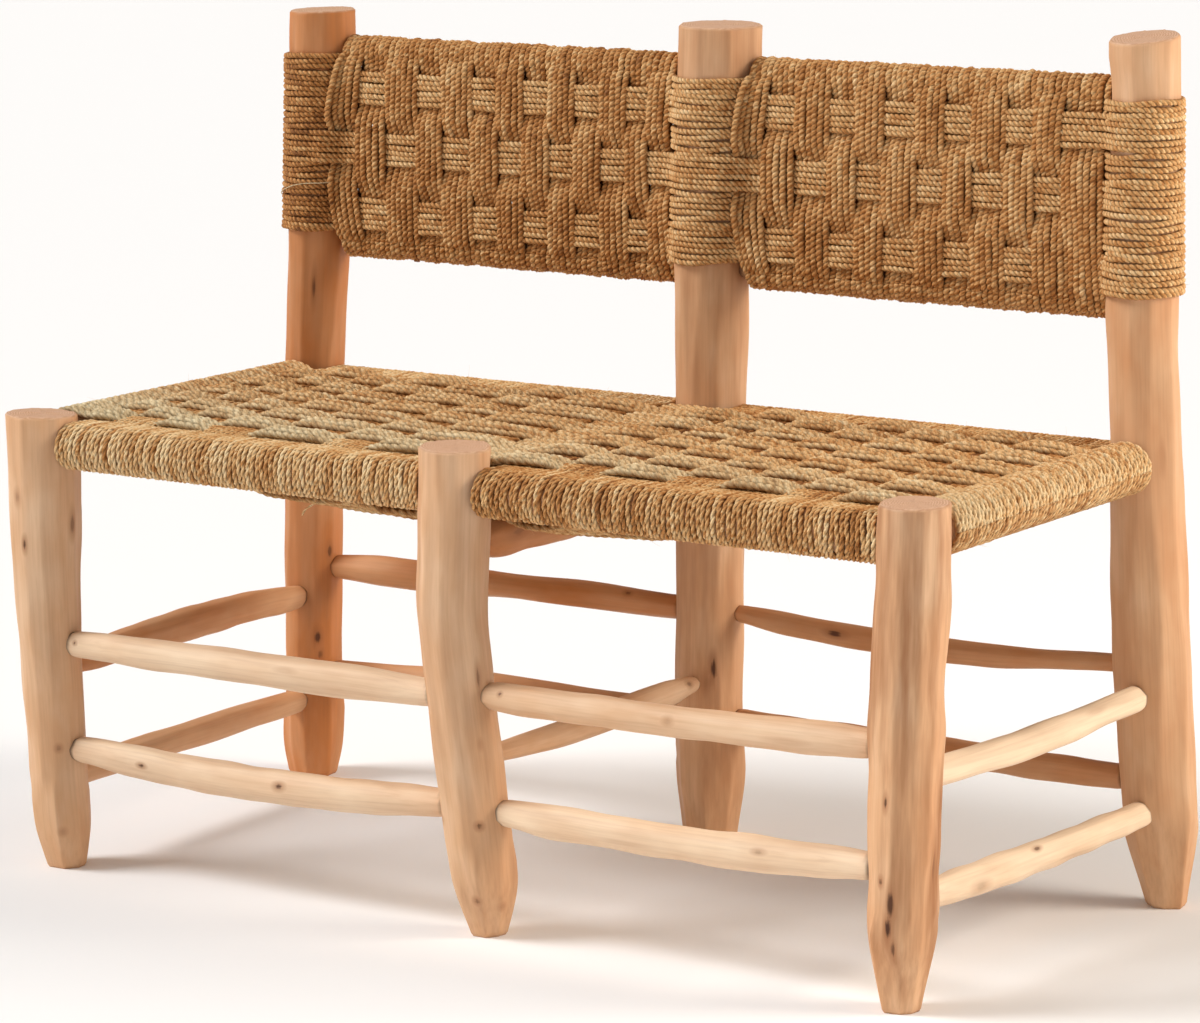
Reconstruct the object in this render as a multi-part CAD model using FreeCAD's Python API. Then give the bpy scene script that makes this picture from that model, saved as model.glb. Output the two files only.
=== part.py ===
import FreeCAD, Part
import math
import os

Vector = FreeCAD.Vector

# A rustic two-seat bench. Six peeled poles stand on the floor and are tied together by rungs and rails
# whose round tenons sit in blind mortises. The seat and the two back panels are woven from palm rope.
# Millimetres. X runs along the bench to its right end, Y from the front row of legs to the back row, Z up.
# The origin is on the floor under the middle of the bench.

# Places of the uprights where the seat rails enter them
MIDDLE_PLACE = -6.5
LEFT_BAY = 471.5
RIGHT_BAY = 463.5
FRONT_ROW = -222.0
SEAT_DEPTH = 432.0

# Heights of the rails, each above the one before it
SEAT_RAIL_HEIGHT = 405.0
SIDE_RAIL_RISE = 5.0
BACK_RAIL_RISE = 153.0
BACK_RAIL_SPACING = 184.0

# Heads of the legs above the seat rails, and of the posts above the upper back rails
FRONT_LEFT_HEAD = 28.0
FRONT_MIDDLE_HEAD = 39.0
FRONT_RIGHT_HEAD = 33.0
BACK_LEFT_HEAD = 43.0
BACK_MIDDLE_HEAD = 47.0
BACK_RIGHT_HEAD = 54.0

# Levels of the rungs, at which the uprights' sway and girth are given too
LOWER_LEVEL = 112.0
UPPER_LEVEL = 218.0
KNEE_LEVEL = 300.0
SIDE_RUNG_DROP = 25.0
MIDDLE_RUNG_HEIGHT = 157.0

# Hewn feet and sawn heads
FOOT_SIDES = 9
HEAD_BEVEL = 2.0

# Poles under the rope
SEAT_RAIL_RADIUS = 20.0
SIDE_RAIL_RADIUS = 19.0
MIDDLE_RAIL_RADIUS = 22.0
BACK_RAIL_RADIUS = 12.0
RAIL_TAPER = 14.0

# Tenons: the tip stops short of the upright's axis, so that crossing tenons never meet
TENON_TIP = 13.5
RUNG_TENON_RADIUS = 12.0
THIN_TENON_RADIUS = 8.5
RAIL_TENON_RADIUS = 11.0
BACK_TENON_RADIUS = 8.5
TENON_FIT = 0.15
TENON_END_GAP = 1.0
TENON_COLLAR = 4.0

# Rope and the room that it keeps from the wood
SEAT_ROPE = 6.5
BACK_ROPE = 5.8
ROPE_GAP = 0.3
TURN_GAP = 0.55

# Poles are shaved, not turned: so many flats round them, in lengths between rings
UPRIGHT_SIDES = 14
RUNG_SIDES = 12
RING_STEP = 75.0
RUNG_RING_COUNT = 5

# Share of a rung at each end over which it thins to its tenon
RUNG_NECK = 0.12

# How far a cut reaches beyond the wood or rope that it takes away, in times its thickness
CUT_REACH = 3.0


def to_corner(radius, sides):
    """Distance to the corners of a regular outline whose mean radius is given."""
    return 2 * radius / (1 + math.cos(math.pi / sides))


EAST = Vector(1, 0, 0)
NORTH = Vector(0, 1, 0)
UP = Vector(0, 0, 1)
LEFT_PLACE = MIDDLE_PLACE - LEFT_BAY
RIGHT_PLACE = MIDDLE_PLACE + RIGHT_BAY
BACK_ROW = FRONT_ROW + SEAT_DEPTH
SIDE_RAIL_HEIGHT = SEAT_RAIL_HEIGHT + SIDE_RAIL_RISE
SEAT_UNDERSIDE = SEAT_RAIL_HEIGHT - to_corner(SEAT_RAIL_RADIUS, RUNG_SIDES) - ROPE_GAP - SEAT_ROPE
MIDDLE_RAIL_HEIGHT = SEAT_UNDERSIDE - ROPE_GAP - to_corner(MIDDLE_RAIL_RADIUS, RUNG_SIDES)
LOWER_RAIL_HEIGHT = SEAT_RAIL_HEIGHT + BACK_RAIL_RISE
UPPER_RAIL_HEIGHT = LOWER_RAIL_HEIGHT + BACK_RAIL_SPACING


def curve(points, at):
    """Value at one height on a smooth line through (height, value) points, level beyond its ends."""
    if at <= points[0][0]:
        return points[0][1]
    if at >= points[-1][0]:
        return points[-1][1]
    last = len(points) - 1
    slopes = []
    for i in range(len(points)):
        before = points[max(i - 1, 0)]
        after = points[min(i + 1, last)]
        slopes.append((after[1] - before[1]) / (after[0] - before[0]))
    i = max(k for k in range(last) if points[k][0] <= at)
    step = points[i + 1][0] - points[i][0]
    t = (at - points[i][0]) / step
    start = (1 + 2 * t) * points[i][1] + t * step * slopes[i]
    end = (3 - 2 * t) * points[i + 1][1] + (t - 1) * step * slopes[i + 1]
    return (1 - t) ** 2 * start + t * t * end


class Upright:
    """A peeled pole on the floor: where it stands, how high, and how it sways and swells with height."""

    def __init__(self, x, y, head, sway, girth, foot, tilt):
        self.x = x
        self.y = y
        self.head = head
        self.sway_x = [(height, dx) for height, dx, dy in sway]
        self.sway_y = [(height, dy) for height, dx, dy in sway]
        self.girth = girth
        self.foot_height, self.foot_radius = foot
        self.tilt = Vector(tilt[0], tilt[1], 1)

    def between_rings(self, points, height):
        """Value at one height on straight lengths between rings that lie on the smooth line."""
        low = math.floor(height / RING_STEP) * RING_STEP
        below = curve(points, low)
        return below + (curve(points, low + RING_STEP) - below) * (height - low) / RING_STEP

    def centre(self, height):
        across = self.between_rings(self.sway_x, height)
        back = self.between_rings(self.sway_y, height)
        return Vector(self.x + across, self.y + back, height)

    def radius(self, height):
        return self.between_rings(self.girth, height)


class Rung:
    """A pole between two uprights: its height at each end, its bow upwards and its three radii."""

    def __init__(self, first, first_height, second, second_height, bow, radii, tenon=RUNG_TENON_RADIUS):
        self.first = first
        self.second = second
        self.bow = bow
        self.radii = radii
        self.tenon = tenon
        self.start = first.centre(first_height)
        self.end = second.centre(second_height)
        self.length = (self.end - self.start).Length
        self.way = (self.end - self.start).normalize()
        self.start_face = first.radius(first_height)
        self.end_face = second.radius(second_height)


def ring(centre, radius, across, up, sides):
    """Corners of a regular outline whose mean radius is given."""
    corner = to_corner(radius, sides)
    points = []
    for i in range(sides):
        angle = 2 * math.pi * (i + 0.5) / sides
        points.append(centre + across * corner * math.cos(angle) + up * corner * math.sin(angle))
    return points


def flat(points):
    return Part.Face(Part.makePolygon(points + points[:1]))


def shaved(rings):
    """Solid with flats between rings of equally many corners, closed by a flat at each end."""
    faces = [flat(rings[0]), flat(rings[-1])]
    for low, high in zip(rings, rings[1:]):
        for i in range(len(low)):
            faces.append(flat([low[i - 1], low[i], high[i], high[i - 1]]))
    solid = Part.makeSolid(Part.makeShell(faces))
    if solid.Volume < 0:
        solid.reverse()
    return solid


def core(upright, low, high, extra):
    """Solid along an upright from one height to another, thicker all round by extra."""
    inner = range(math.floor(low / RING_STEP) + 1, math.ceil(high / RING_STEP))
    rings = []
    for height in [low] + [RING_STEP * i for i in inner] + [high]:
        radius = upright.radius(height) + extra
        rings.append(ring(upright.centre(height), radius, EAST, NORTH, UPRIGHT_SIDES))
    return shaved(rings)


def chips(upright):
    """What the axe takes off round a foot: all that lies outside a many-sided taper."""
    full = upright.radius(upright.foot_height)
    top = 2 * upright.foot_height
    low = ring(upright.centre(0), upright.foot_radius, EAST, NORTH, FOOT_SIDES)
    high = ring(upright.centre(top), 2 * full - upright.foot_radius, EAST, NORTH, FOOT_SIDES)
    block = ring(upright.centre(0), CUT_REACH * full, EAST, NORTH, FOOT_SIDES)
    lid = [point + UP * top for point in block]
    return shaved([block, lid]).cut(shaved([low, high]))


def waste(upright):
    """What the saw takes off above a head, along its tilted cut, and the knife round the rim of that cut."""
    radius = upright.radius(upright.head)
    reach = CUT_REACH * radius
    saw = Part.makeBox(2 * reach, 2 * reach, reach, Vector(-reach, -reach, 0))
    under = UP * -2 * HEAD_BEVEL
    block = ring(Vector(), reach, EAST, NORTH, UPRIGHT_SIDES)
    rim = ring(Vector(), radius - HEAD_BEVEL, EAST, NORTH, UPRIGHT_SIDES)
    skirt = ring(under, radius + HEAD_BEVEL, EAST, NORTH, UPRIGHT_SIDES)
    knife = shaved([block, [point + under for point in block]]).cut(shaved([rim, skirt]))
    place = FreeCAD.Placement(upright.centre(upright.head), FreeCAD.Rotation(UP, upright.tilt))
    for cutter in (saw, knife):
        cutter.Placement = place
    return [saw, knife]


def rung_ring(rung, along, lift, radius):
    """Outline of a rung at one distance from the axis of its first upright, lifted by its bow."""
    across = rung.way.cross(UP).normalize()
    return ring(rung.start + rung.way * along + UP * lift, radius, across, across.cross(rung.way), RUNG_SIDES)


def mortises(upright):
    """Blind holes for every rung and rail that enters an upright, of the tenons' own section."""
    holes = []
    bottom = TENON_TIP - TENON_END_GAP
    for rung in RUNGS.values():
        hole = rung.tenon + TENON_FIT
        if rung.first is upright:
            span = (bottom, rung.start_face + rung.tenon)
            holes.append(shaved([rung_ring(rung, along, 0, hole) for along in span]))
        if rung.second is upright:
            span = (rung.length - rung.end_face - rung.tenon, rung.length - bottom)
            holes.append(shaved([rung_ring(rung, along, 0, hole) for along in span]))
    return holes


def make_upright(upright):
    pole = core(upright, 0, upright.head + upright.radius(upright.head), 0)
    return pole.cut(waste(upright) + [chips(upright)] + mortises(upright))


def with_tenons(rung, girth, shares):
    """A pole from shoulder to shoulder, with its girth at some shares of that length, and its two tenons."""
    first = rung.start_face + TENON_COLLAR
    second = rung.length - rung.end_face - TENON_COLLAR
    rings = [rung_ring(rung, TENON_TIP, 0, rung.tenon)]
    for share in shares:
        lift = rung.bow * math.sin(math.pi * share)
        rings.append(rung_ring(rung, first + (second - first) * share, lift, curve(girth, share)))
    rings.append(rung_ring(rung, rung.length - TENON_TIP, 0, rung.tenon))
    return shaved(rings)


def make_rung(rung):
    """A grown pole, bowed up or down a little, that thins to a tenon at each end."""
    start, middle, end = rung.radii
    far_neck = 1 - RUNG_NECK
    girth = ((0, rung.tenon), (RUNG_NECK, start), (0.5, middle), (far_neck, end), (1, rung.tenon))
    step = (far_neck - RUNG_NECK) / (RUNG_RING_COUNT - 1)
    shares = [RUNG_NECK + step * i for i in range(RUNG_RING_COUNT)]
    return with_tenons(rung, girth, [0] + shares + [1])


def make_rail(rung):
    """A straight pole with a short taper down to the tenon at each end."""
    taper = RAIL_TAPER / (rung.length - rung.start_face - rung.end_face - 2 * TENON_COLLAR)
    shares = (0, taper, 1 - taper, 1)
    girth = tuple(zip(shares, (rung.tenon, rung.radii[0], rung.radii[2], rung.tenon)))
    return with_tenons(rung, girth, shares)


def track(first, second, radius, way):
    """Filled outline of a band round two parallel poles, closed by a half circle round each."""
    along = (second - first).normalize()
    out = along.cross(Vector(way).normalize()) * radius
    first_tip = first - along * radius
    second_tip = second + along * radius
    edges = [
        Part.Arc(first - out, first_tip, first + out).toShape(),
        Part.makeLine(first + out, second + out),
        Part.Arc(second + out, second_tip, second - out).toShape(),
        Part.makeLine(second - out, first - out),
    ]
    return Part.Face(Part.Wire(edges))


def band(first, second, radius, rope, run):
    """Rope wound side by side round two parallel poles, over a run square to them."""
    inner = to_corner(radius, RUNG_SIDES) + ROPE_GAP
    outside = track(first, second, inner + rope, run).extrude(run)
    inside = track(first, second, inner, run).extrude(run)
    return outside.cut(inside)


def make_seat_weave():
    """Rope from front to back round the front and back rails, and from side to side round the side rails."""
    lengthways = RIGHT_PLACE - LEFT_PLACE - 2 * SIDE_RAIL_RADIUS
    start = LEFT_PLACE + SIDE_RAIL_RADIUS
    front = Vector(start, FRONT_ROW, SEAT_RAIL_HEIGHT)
    back = Vector(start, BACK_ROW, SEAT_RAIL_HEIGHT)
    warp = band(front, back, SEAT_RAIL_RADIUS, SEAT_ROPE, Vector(lengthways, 0, 0))
    crossways = SEAT_DEPTH - 2 * SEAT_RAIL_RADIUS
    edge = FRONT_ROW + SEAT_RAIL_RADIUS
    near = Vector(LEFT_PLACE, edge, SIDE_RAIL_HEIGHT)
    far = Vector(RIGHT_PLACE, edge, SIDE_RAIL_HEIGHT)
    weft = band(near, far, SIDE_RAIL_RADIUS, SEAT_ROPE, Vector(0, crossways, 0))
    margin = SEAT_RAIL_RADIUS + CUT_REACH * SEAT_ROPE
    low = SEAT_RAIL_HEIGHT - margin
    high = SIDE_RAIL_HEIGHT + margin
    notches = [core(upright, low, high, ROPE_GAP) for upright in UPRIGHTS.values()]
    return warp.fuse(weft).cut(notches)


def make_back_weave(first, second):
    """Rope wound round the upper and lower back rails between two posts, clear of the rope on the posts."""
    low = Vector(first.x, BACK_ROW, LOWER_RAIL_HEIGHT)
    high = Vector(first.x, BACK_ROW, UPPER_RAIL_HEIGHT)
    panel = band(low, high, BACK_RAIL_RADIUS, BACK_ROPE, Vector(second.x - first.x, 0, 0))
    margin = BACK_RAIL_RADIUS + CUT_REACH * BACK_ROPE
    around = BACK_ROPE + 2 * ROPE_GAP
    notches = []
    for post in (first, second):
        notches.append(core(post, LOWER_RAIL_HEIGHT - margin, UPPER_RAIL_HEIGHT + margin, around))
    return panel.cut(notches)


def winding_path(post):
    """Corners of a rope's way up a post, from its back and a flat at a time; both ends run straight."""
    pitch = BACK_ROPE + TURN_GAP
    room = BACK_RAIL_SPACING - 2 * (BACK_RAIL_RADIUS + ROPE_GAP) - BACK_ROPE
    turns = math.floor(room / pitch)
    low = (LOWER_RAIL_HEIGHT + UPPER_RAIL_HEIGHT - turns * pitch) / 2
    path = []
    for i in range(turns * UPRIGHT_SIDES + 1):
        height = low + pitch * i / UPRIGHT_SIDES
        radius = post.radius(height) + ROPE_GAP + BACK_ROPE / 2
        corners = ring(post.centre(height), radius, EAST, NORTH, UPRIGHT_SIDES)
        path.append(corners[(i + UPRIGHT_SIDES // 4) % UPRIGHT_SIDES])
    path[0] += (path[0] - path[1]).normalize() * BACK_ROPE
    path[-1] += (path[-1] - path[-2]).normalize() * BACK_ROPE
    return path


def rope_sections(path):
    """Four-cornered sections of a rope, one on the mitre at each corner of its path."""
    ways = [(after - before).normalize() for before, after in zip(path, path[1:])]
    across = ways[0].cross(UP).normalize() * (BACK_ROPE / 2)
    up = across.cross(ways[0])
    sections = [[path[0] + across, path[0] + up, path[0] - across, path[0] - up]]
    for i, way in enumerate(ways):
        mitre = way + ways[min(i + 1, len(ways) - 1)]
        moved = []
        for corner in sections[-1]:
            moved.append(corner + way * ((path[i + 1] - corner).dot(mitre) / way.dot(mitre)))
        sections.append(moved)
    return sections


def least_turn_gap(path, sections):
    """Smallest room between one turn of a winding and the next, taken at the corners of its path."""
    gaps = []
    for i in range(1, len(path) - UPRIGHT_SIDES - 1):
        j = i + UPRIGHT_SIDES
        way = (path[j] - path[i]).normalize()
        top = max((corner - path[i]).dot(way) for corner in sections[i])
        bottom = min((corner - path[i]).dot(way) for corner in sections[j])
        gaps.append(bottom - top)
    return min(gaps)


def make_post_winding(post):
    """One unbroken rope wound round a post between the back rails."""
    path = winding_path(post)
    sections = rope_sections(path)
    print("least gap between turns", round(least_turn_gap(path, sections), 2))
    return shaved(sections)


# Legs and posts: sway is (height, along X, along Y) from the upright's place, girth is (height, radius),
# foot is (height of the hewn taper, radius on the floor), tilt leans the sawn head along X and Y
SEAT_STILL = (SEAT_RAIL_HEIGHT, 0, 0)
UPRIGHTS = {
    "front_leg_left": Upright(
        LEFT_PLACE, FRONT_ROW, SEAT_RAIL_HEIGHT + FRONT_LEFT_HEAD,
        ((0, 20, 0), (LOWER_LEVEL, 10, 0), (UPPER_LEVEL, 4.5, 0), (KNEE_LEVEL, 0.5, 0), SEAT_STILL),
        ((0, 27), (LOWER_LEVEL, 27.5), (UPPER_LEVEL, 30), (KNEE_LEVEL, 32), (SEAT_RAIL_HEIGHT, 34.5)),
        (36, 18), (0.01, 0.02)),
    "front_leg_middle": Upright(
        MIDDLE_PLACE, FRONT_ROW, SEAT_RAIL_HEIGHT + FRONT_MIDDLE_HEAD,
        ((0, 25, 12), (LOWER_LEVEL, 16, 6), (UPPER_LEVEL, 2.5, 3), (KNEE_LEVEL, -5, 0), SEAT_STILL),
        ((0, 29), (LOWER_LEVEL, 31.5), (UPPER_LEVEL, 31), (KNEE_LEVEL, 32), (SEAT_RAIL_HEIGHT, 32.5)),
        (48, 16), (0.02, -0.02)),
    "front_leg_right": Upright(
        RIGHT_PLACE, FRONT_ROW, SEAT_RAIL_HEIGHT + FRONT_RIGHT_HEAD,
        ((0, -8.5, 0), (LOWER_LEVEL, -7.5, 0), (UPPER_LEVEL, -6, 0), (KNEE_LEVEL, -4, 0), SEAT_STILL),
        ((0, 27), (LOWER_LEVEL, 30.5), (UPPER_LEVEL, 32), (KNEE_LEVEL, 32), (SEAT_RAIL_HEIGHT, 31)),
        (55, 16), (0, -0.03)),
    "back_post_left": Upright(
        LEFT_PLACE, BACK_ROW, UPPER_RAIL_HEIGHT + BACK_LEFT_HEAD,
        ((0, -6.5, 0), (LOWER_LEVEL, -5, 0), (UPPER_LEVEL, -3.5, 0), SEAT_STILL,
         (LOWER_RAIL_HEIGHT, 7.5, 0), (UPPER_RAIL_HEIGHT, 15.5, 0)),
        ((0, 29), (LOWER_LEVEL, 29.5), (UPPER_LEVEL, 30), (SEAT_RAIL_HEIGHT, 30),
         (LOWER_RAIL_HEIGHT, 31.5), (UPPER_RAIL_HEIGHT, 33.5)),
        (30, 23), (-0.02, -0.02)),
    "back_post_middle": Upright(
        MIDDLE_PLACE, BACK_ROW, UPPER_RAIL_HEIGHT + BACK_MIDDLE_HEAD,
        ((0, 2, 0), (LOWER_LEVEL, 0, 0), (UPPER_LEVEL, 0, 0), SEAT_STILL,
         (LOWER_RAIL_HEIGHT, 1, 0), (UPPER_RAIL_HEIGHT, 9, 0)),
        ((0, 33), (LOWER_LEVEL, 33.5), (UPPER_LEVEL, 32.5), (SEAT_RAIL_HEIGHT, 34),
         (LOWER_RAIL_HEIGHT, 36), (UPPER_RAIL_HEIGHT, 40)),
        (50, 26), (0.01, -0.02)),
    "back_post_right": Upright(
        RIGHT_PLACE, BACK_ROW, UPPER_RAIL_HEIGHT + BACK_RIGHT_HEAD,
        ((0, 30, 0), (LOWER_LEVEL, 19, 0), (UPPER_LEVEL, 12, 0), SEAT_STILL,
         (LOWER_RAIL_HEIGHT, -6.5, 0), (UPPER_RAIL_HEIGHT, -8, 0),
         (UPPER_RAIL_HEIGHT + BACK_RIGHT_HEAD, -14, 0)),
        ((0, 34), (LOWER_LEVEL, 35), (UPPER_LEVEL, 35), (SEAT_RAIL_HEIGHT, 33), (LOWER_RAIL_HEIGHT, 32),
         (UPPER_RAIL_HEIGHT, 30), (UPPER_RAIL_HEIGHT + BACK_RIGHT_HEAD, 35)),
        (85, 18), (-0.04, -0.14)),
}

front_left = UPRIGHTS["front_leg_left"]
front_middle = UPRIGHTS["front_leg_middle"]
front_right = UPRIGHTS["front_leg_right"]
back_left = UPRIGHTS["back_post_left"]
back_middle = UPRIGHTS["back_post_middle"]
back_right = UPRIGHTS["back_post_right"]

# Rungs that show: heights at their two ends, bow, and radii near the start, in the middle and near the end
UPPER_SIDE = UPPER_LEVEL - SIDE_RUNG_DROP
LOWER_SIDE = LOWER_LEVEL - SIDE_RUNG_DROP
OPEN_RUNGS = {
    "front_rung_upper_left": Rung(
        front_left, UPPER_LEVEL - 2, front_middle, UPPER_LEVEL - 1, 0, (14.5, 15, 15.5)),
    "front_rung_upper_right": Rung(
        front_middle, UPPER_LEVEL + 3, front_right, UPPER_LEVEL + 10, -2, (13.5, 14, 14.5)),
    "front_rung_lower_left": Rung(
        front_left, LOWER_LEVEL + 2, front_middle, LOWER_LEVEL + 4, -8, (15, 16, 15.5)),
    "front_rung_lower_right": Rung(
        front_middle, LOWER_LEVEL + 3, front_right, LOWER_LEVEL + 9, -4, (15, 15, 15.5)),
    "back_rung_upper_left": Rung(
        back_left, UPPER_LEVEL + 1, back_middle, UPPER_LEVEL + 5, 1, (15.5, 13.5, 12.5)),
    "back_rung_upper_right": Rung(
        back_middle, UPPER_LEVEL + 5, back_right, UPPER_LEVEL + 3, -10, (11.5, 11.5, 9.5), THIN_TENON_RADIUS),
    "back_rung_lower_left": Rung(
        back_left, LOWER_LEVEL - 3, back_middle, LOWER_LEVEL + 4, 4, (13.5, 13.5, 13)),
    "back_rung_lower_right": Rung(
        back_middle, LOWER_LEVEL + 5, back_right, LOWER_LEVEL + 3, -1, (13, 13.5, 13)),
    "side_rung_upper_left": Rung(
        front_left, UPPER_SIDE - 3, back_left, UPPER_SIDE - 2, 4, (14.5, 16.5, 14.5)),
    "side_rung_upper_right": Rung(
        front_right, UPPER_SIDE + 5, back_right, UPPER_SIDE + 6, -5, (13.5, 13.5, 13)),
    "side_rung_lower_left": Rung(
        front_left, LOWER_SIDE - 4, back_left, LOWER_SIDE - 6, 1, (13.5, 13.5, 13)),
    "side_rung_lower_right": Rung(
        front_right, LOWER_SIDE + 5, back_right, LOWER_SIDE + 4, -2, (15, 13.5, 13.5)),
    "middle_rung": Rung(
        front_middle, MIDDLE_RUNG_HEIGHT + 1, back_middle, MIDDLE_RUNG_HEIGHT - 1, -4, (11, 12.5, 13.5),
        THIN_TENON_RADIUS),
}


def rail(first, second, height, radius, tenon=RAIL_TENON_RADIUS):
    return Rung(first, height, second, height, 0, (radius, radius, radius), tenon)


# Rails that carry the rope
ROPED_RAILS = {
    "front_seat_rail_left": rail(front_left, front_middle, SEAT_RAIL_HEIGHT, SEAT_RAIL_RADIUS),
    "front_seat_rail_right": rail(front_middle, front_right, SEAT_RAIL_HEIGHT, SEAT_RAIL_RADIUS),
    "back_seat_rail_left": rail(back_left, back_middle, SEAT_RAIL_HEIGHT, SEAT_RAIL_RADIUS),
    "back_seat_rail_right": rail(back_middle, back_right, SEAT_RAIL_HEIGHT, SEAT_RAIL_RADIUS),
    "side_seat_rail_left": rail(front_left, back_left, SIDE_RAIL_HEIGHT, SIDE_RAIL_RADIUS),
    "side_seat_rail_right": rail(front_right, back_right, SIDE_RAIL_HEIGHT, SIDE_RAIL_RADIUS),
    "middle_seat_rail": rail(front_middle, back_middle, MIDDLE_RAIL_HEIGHT, MIDDLE_RAIL_RADIUS),
}
for row, height in (("upper", UPPER_RAIL_HEIGHT), ("lower", LOWER_RAIL_HEIGHT)):
    for side, first, second in (("left", back_left, back_middle), ("right", back_middle, back_right)):
        ROPED_RAILS[f"back_rail_{row}_{side}"] = rail(
            first, second, height, BACK_RAIL_RADIUS, BACK_TENON_RADIUS)

RUNGS = {**OPEN_RUNGS, **ROPED_RAILS}

parts = {}
for name, upright in UPRIGHTS.items():
    parts[name] = make_upright(upright)
for name, rung in OPEN_RUNGS.items():
    parts[name] = make_rung(rung)
for name, rung in ROPED_RAILS.items():
    parts[name] = make_rail(rung)
parts["seat_weave"] = make_seat_weave()
parts["back_weave_left"] = make_back_weave(back_left, back_middle)
parts["back_weave_right"] = make_back_weave(back_middle, back_right)
for side, post in (("left", back_left), ("middle", back_middle), ("right", back_right)):
    parts[f"post_winding_{side}"] = make_post_winding(post)

os.makedirs("parts", exist_ok=True)
for name, shape in parts.items():
    shape.exportStep(f"parts/{name}.step")
    print(name, shape.ShapeType, len(shape.Solids), shape.isValid(), round(shape.Volume / 1000, 1), "cm3")
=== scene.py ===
import math
from math import pi, tau

import bpy
import numpy as np
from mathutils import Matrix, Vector
from mathutils.geometry import convex_hull_2d


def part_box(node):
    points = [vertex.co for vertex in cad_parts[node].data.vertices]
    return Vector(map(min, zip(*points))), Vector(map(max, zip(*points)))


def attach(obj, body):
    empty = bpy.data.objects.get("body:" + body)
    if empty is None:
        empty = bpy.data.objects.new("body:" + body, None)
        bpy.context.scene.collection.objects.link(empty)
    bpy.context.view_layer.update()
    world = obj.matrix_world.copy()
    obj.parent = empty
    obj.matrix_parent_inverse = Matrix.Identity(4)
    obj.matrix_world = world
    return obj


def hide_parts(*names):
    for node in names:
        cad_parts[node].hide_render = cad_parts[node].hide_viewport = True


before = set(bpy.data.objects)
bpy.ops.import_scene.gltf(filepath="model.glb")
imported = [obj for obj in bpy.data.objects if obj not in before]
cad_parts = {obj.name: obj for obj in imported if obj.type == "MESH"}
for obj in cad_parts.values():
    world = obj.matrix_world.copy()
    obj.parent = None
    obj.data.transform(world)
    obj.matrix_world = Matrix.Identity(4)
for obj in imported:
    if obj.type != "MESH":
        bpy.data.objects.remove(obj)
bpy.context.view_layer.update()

# The bench's looks: poles with shaved facets and knots round the frame's poles, and the seat and back woven
# strand by strand from twisted rope. Metres, in the frame's own axes.

scene = bpy.context.scene
rng = np.random.default_rng(11)

# Camera, fitted to the photograph
EYE = Vector((2.3225, -3.5959, 1.1246))
LOOK = Vector((-0.5336, 0.82689, -0.17757))
LENS_MM = 140.98
SENSOR_MM = 36.0
TO_CAMERA = math.atan2(-LOOK.y, -LOOK.x)

# Rope: radius, length of one full twist, corners of its two-ply outline, and how shallow its grooves are and
# how faint their painted shade
ROW_ROPE = 0.0035
ROLL_ROPE = 0.0030
COLUMN_ROPE = 0.0026
UPRIGHT_ROPE = 0.0037
LEVEL_ROPE = 0.0031
SNUG = 0.0004
ROW_LAY = 0.0178
COLUMN_LAY = 0.0170
BACK_LAY = 0.0108
PLY_ANGLES = np.radians([0, 42, 90, 138, 180, 222, 270, 318])
PLY_RADII = np.array([1, 0.88, 0.60, 0.88, 1, 0.88, 0.60, 0.88])
ROUND_ANGLES = np.radians([0, 60, 120, 180, 240, 300])
ROUND_RADIUS = 0.88
ROW_SOFT = 0.65
UPRIGHT_SOFT = 0.60
LEVEL_SOFT = 0.45
FINE_STEP = 0.0018
COARSE_STEP = 0.006
FINE = 0.001

# Seat weave: bands of strands from side to side and from front to back
ROW_STRANDS = 5
ROW_COUNT = 12
LEFT_COLUMNS = (5, 10, 10, 12, 16, 10, 17)
RIGHT_COLUMNS = (10, 11, 13, 11, 13, 11, 12)
ROW_WAVE = 0.0058
ROW_CROWN = 0.0014
ROW_SPREAD = 0.18
ROW_SPREAD_UNDER = 0.1
COLUMN_WAVE = 0.0020
COLUMN_SINK = 0.0012
COLUMN_SPREAD = 0.04
ROW_TURN = 0.022
COLUMN_TURN = 0.008
LENS = 0.10
RIM = 0.02
ROLL_REACH = 0.03
ROLL_BLEND = (0.02, 0.05)
ROW_GAP = 0.001
UNDER_LIFT = 0.0012
CROWN_FALL = 0.5
SLACK_SOFT = 9

# Back weave: upright bands round the back rails, and level bands that run round the posts
BACK_COLUMNS = {
    "left": (5, 5, 6, 5, 6, 5, 5, 5, 5, 5, 5, 4, 4),
    "right": (5, 5, 6, 5, 5, 6, 5, 5, 6, 5, 5, 7),
}
PANEL_STRANDS = 65
SKIPPED_BAND = ("right", 11, 0)
UPRIGHT_SPREAD = 0.04
UPRIGHT_CROWN = 0.0008
OVER_LONG = 0.010
UNDER_SHORT = 0.003
LEVEL_BANDS = (0.585, 0.651, 0.711)
LEVEL_STRANDS = 6
LEVEL_PITCH = 0.0054
LEVEL_TURN = 0.006
UPRIGHT_WAVE = 0.0040
LEVEL_WAVE = 0.0019
WRAP_ENDS = (0.566, 0.742)
NEAR_BOW = 0.014
FAR_BOW = 0.004
BOW_STRANDS = 12
BELLY = 0.003
BACK_SLANT = 1.5
REAR_PINCH = 0.09
RAIL_SCATTER = 0.0005
LOOSENESS = 0.7
CLIMB_SOFT = 4
LEVEL_SMOOTH = 12
LIFT_START = 0.02
LAST_GAP = 0.5
FAR_LEANS = (0.006, 0.012)

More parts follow.
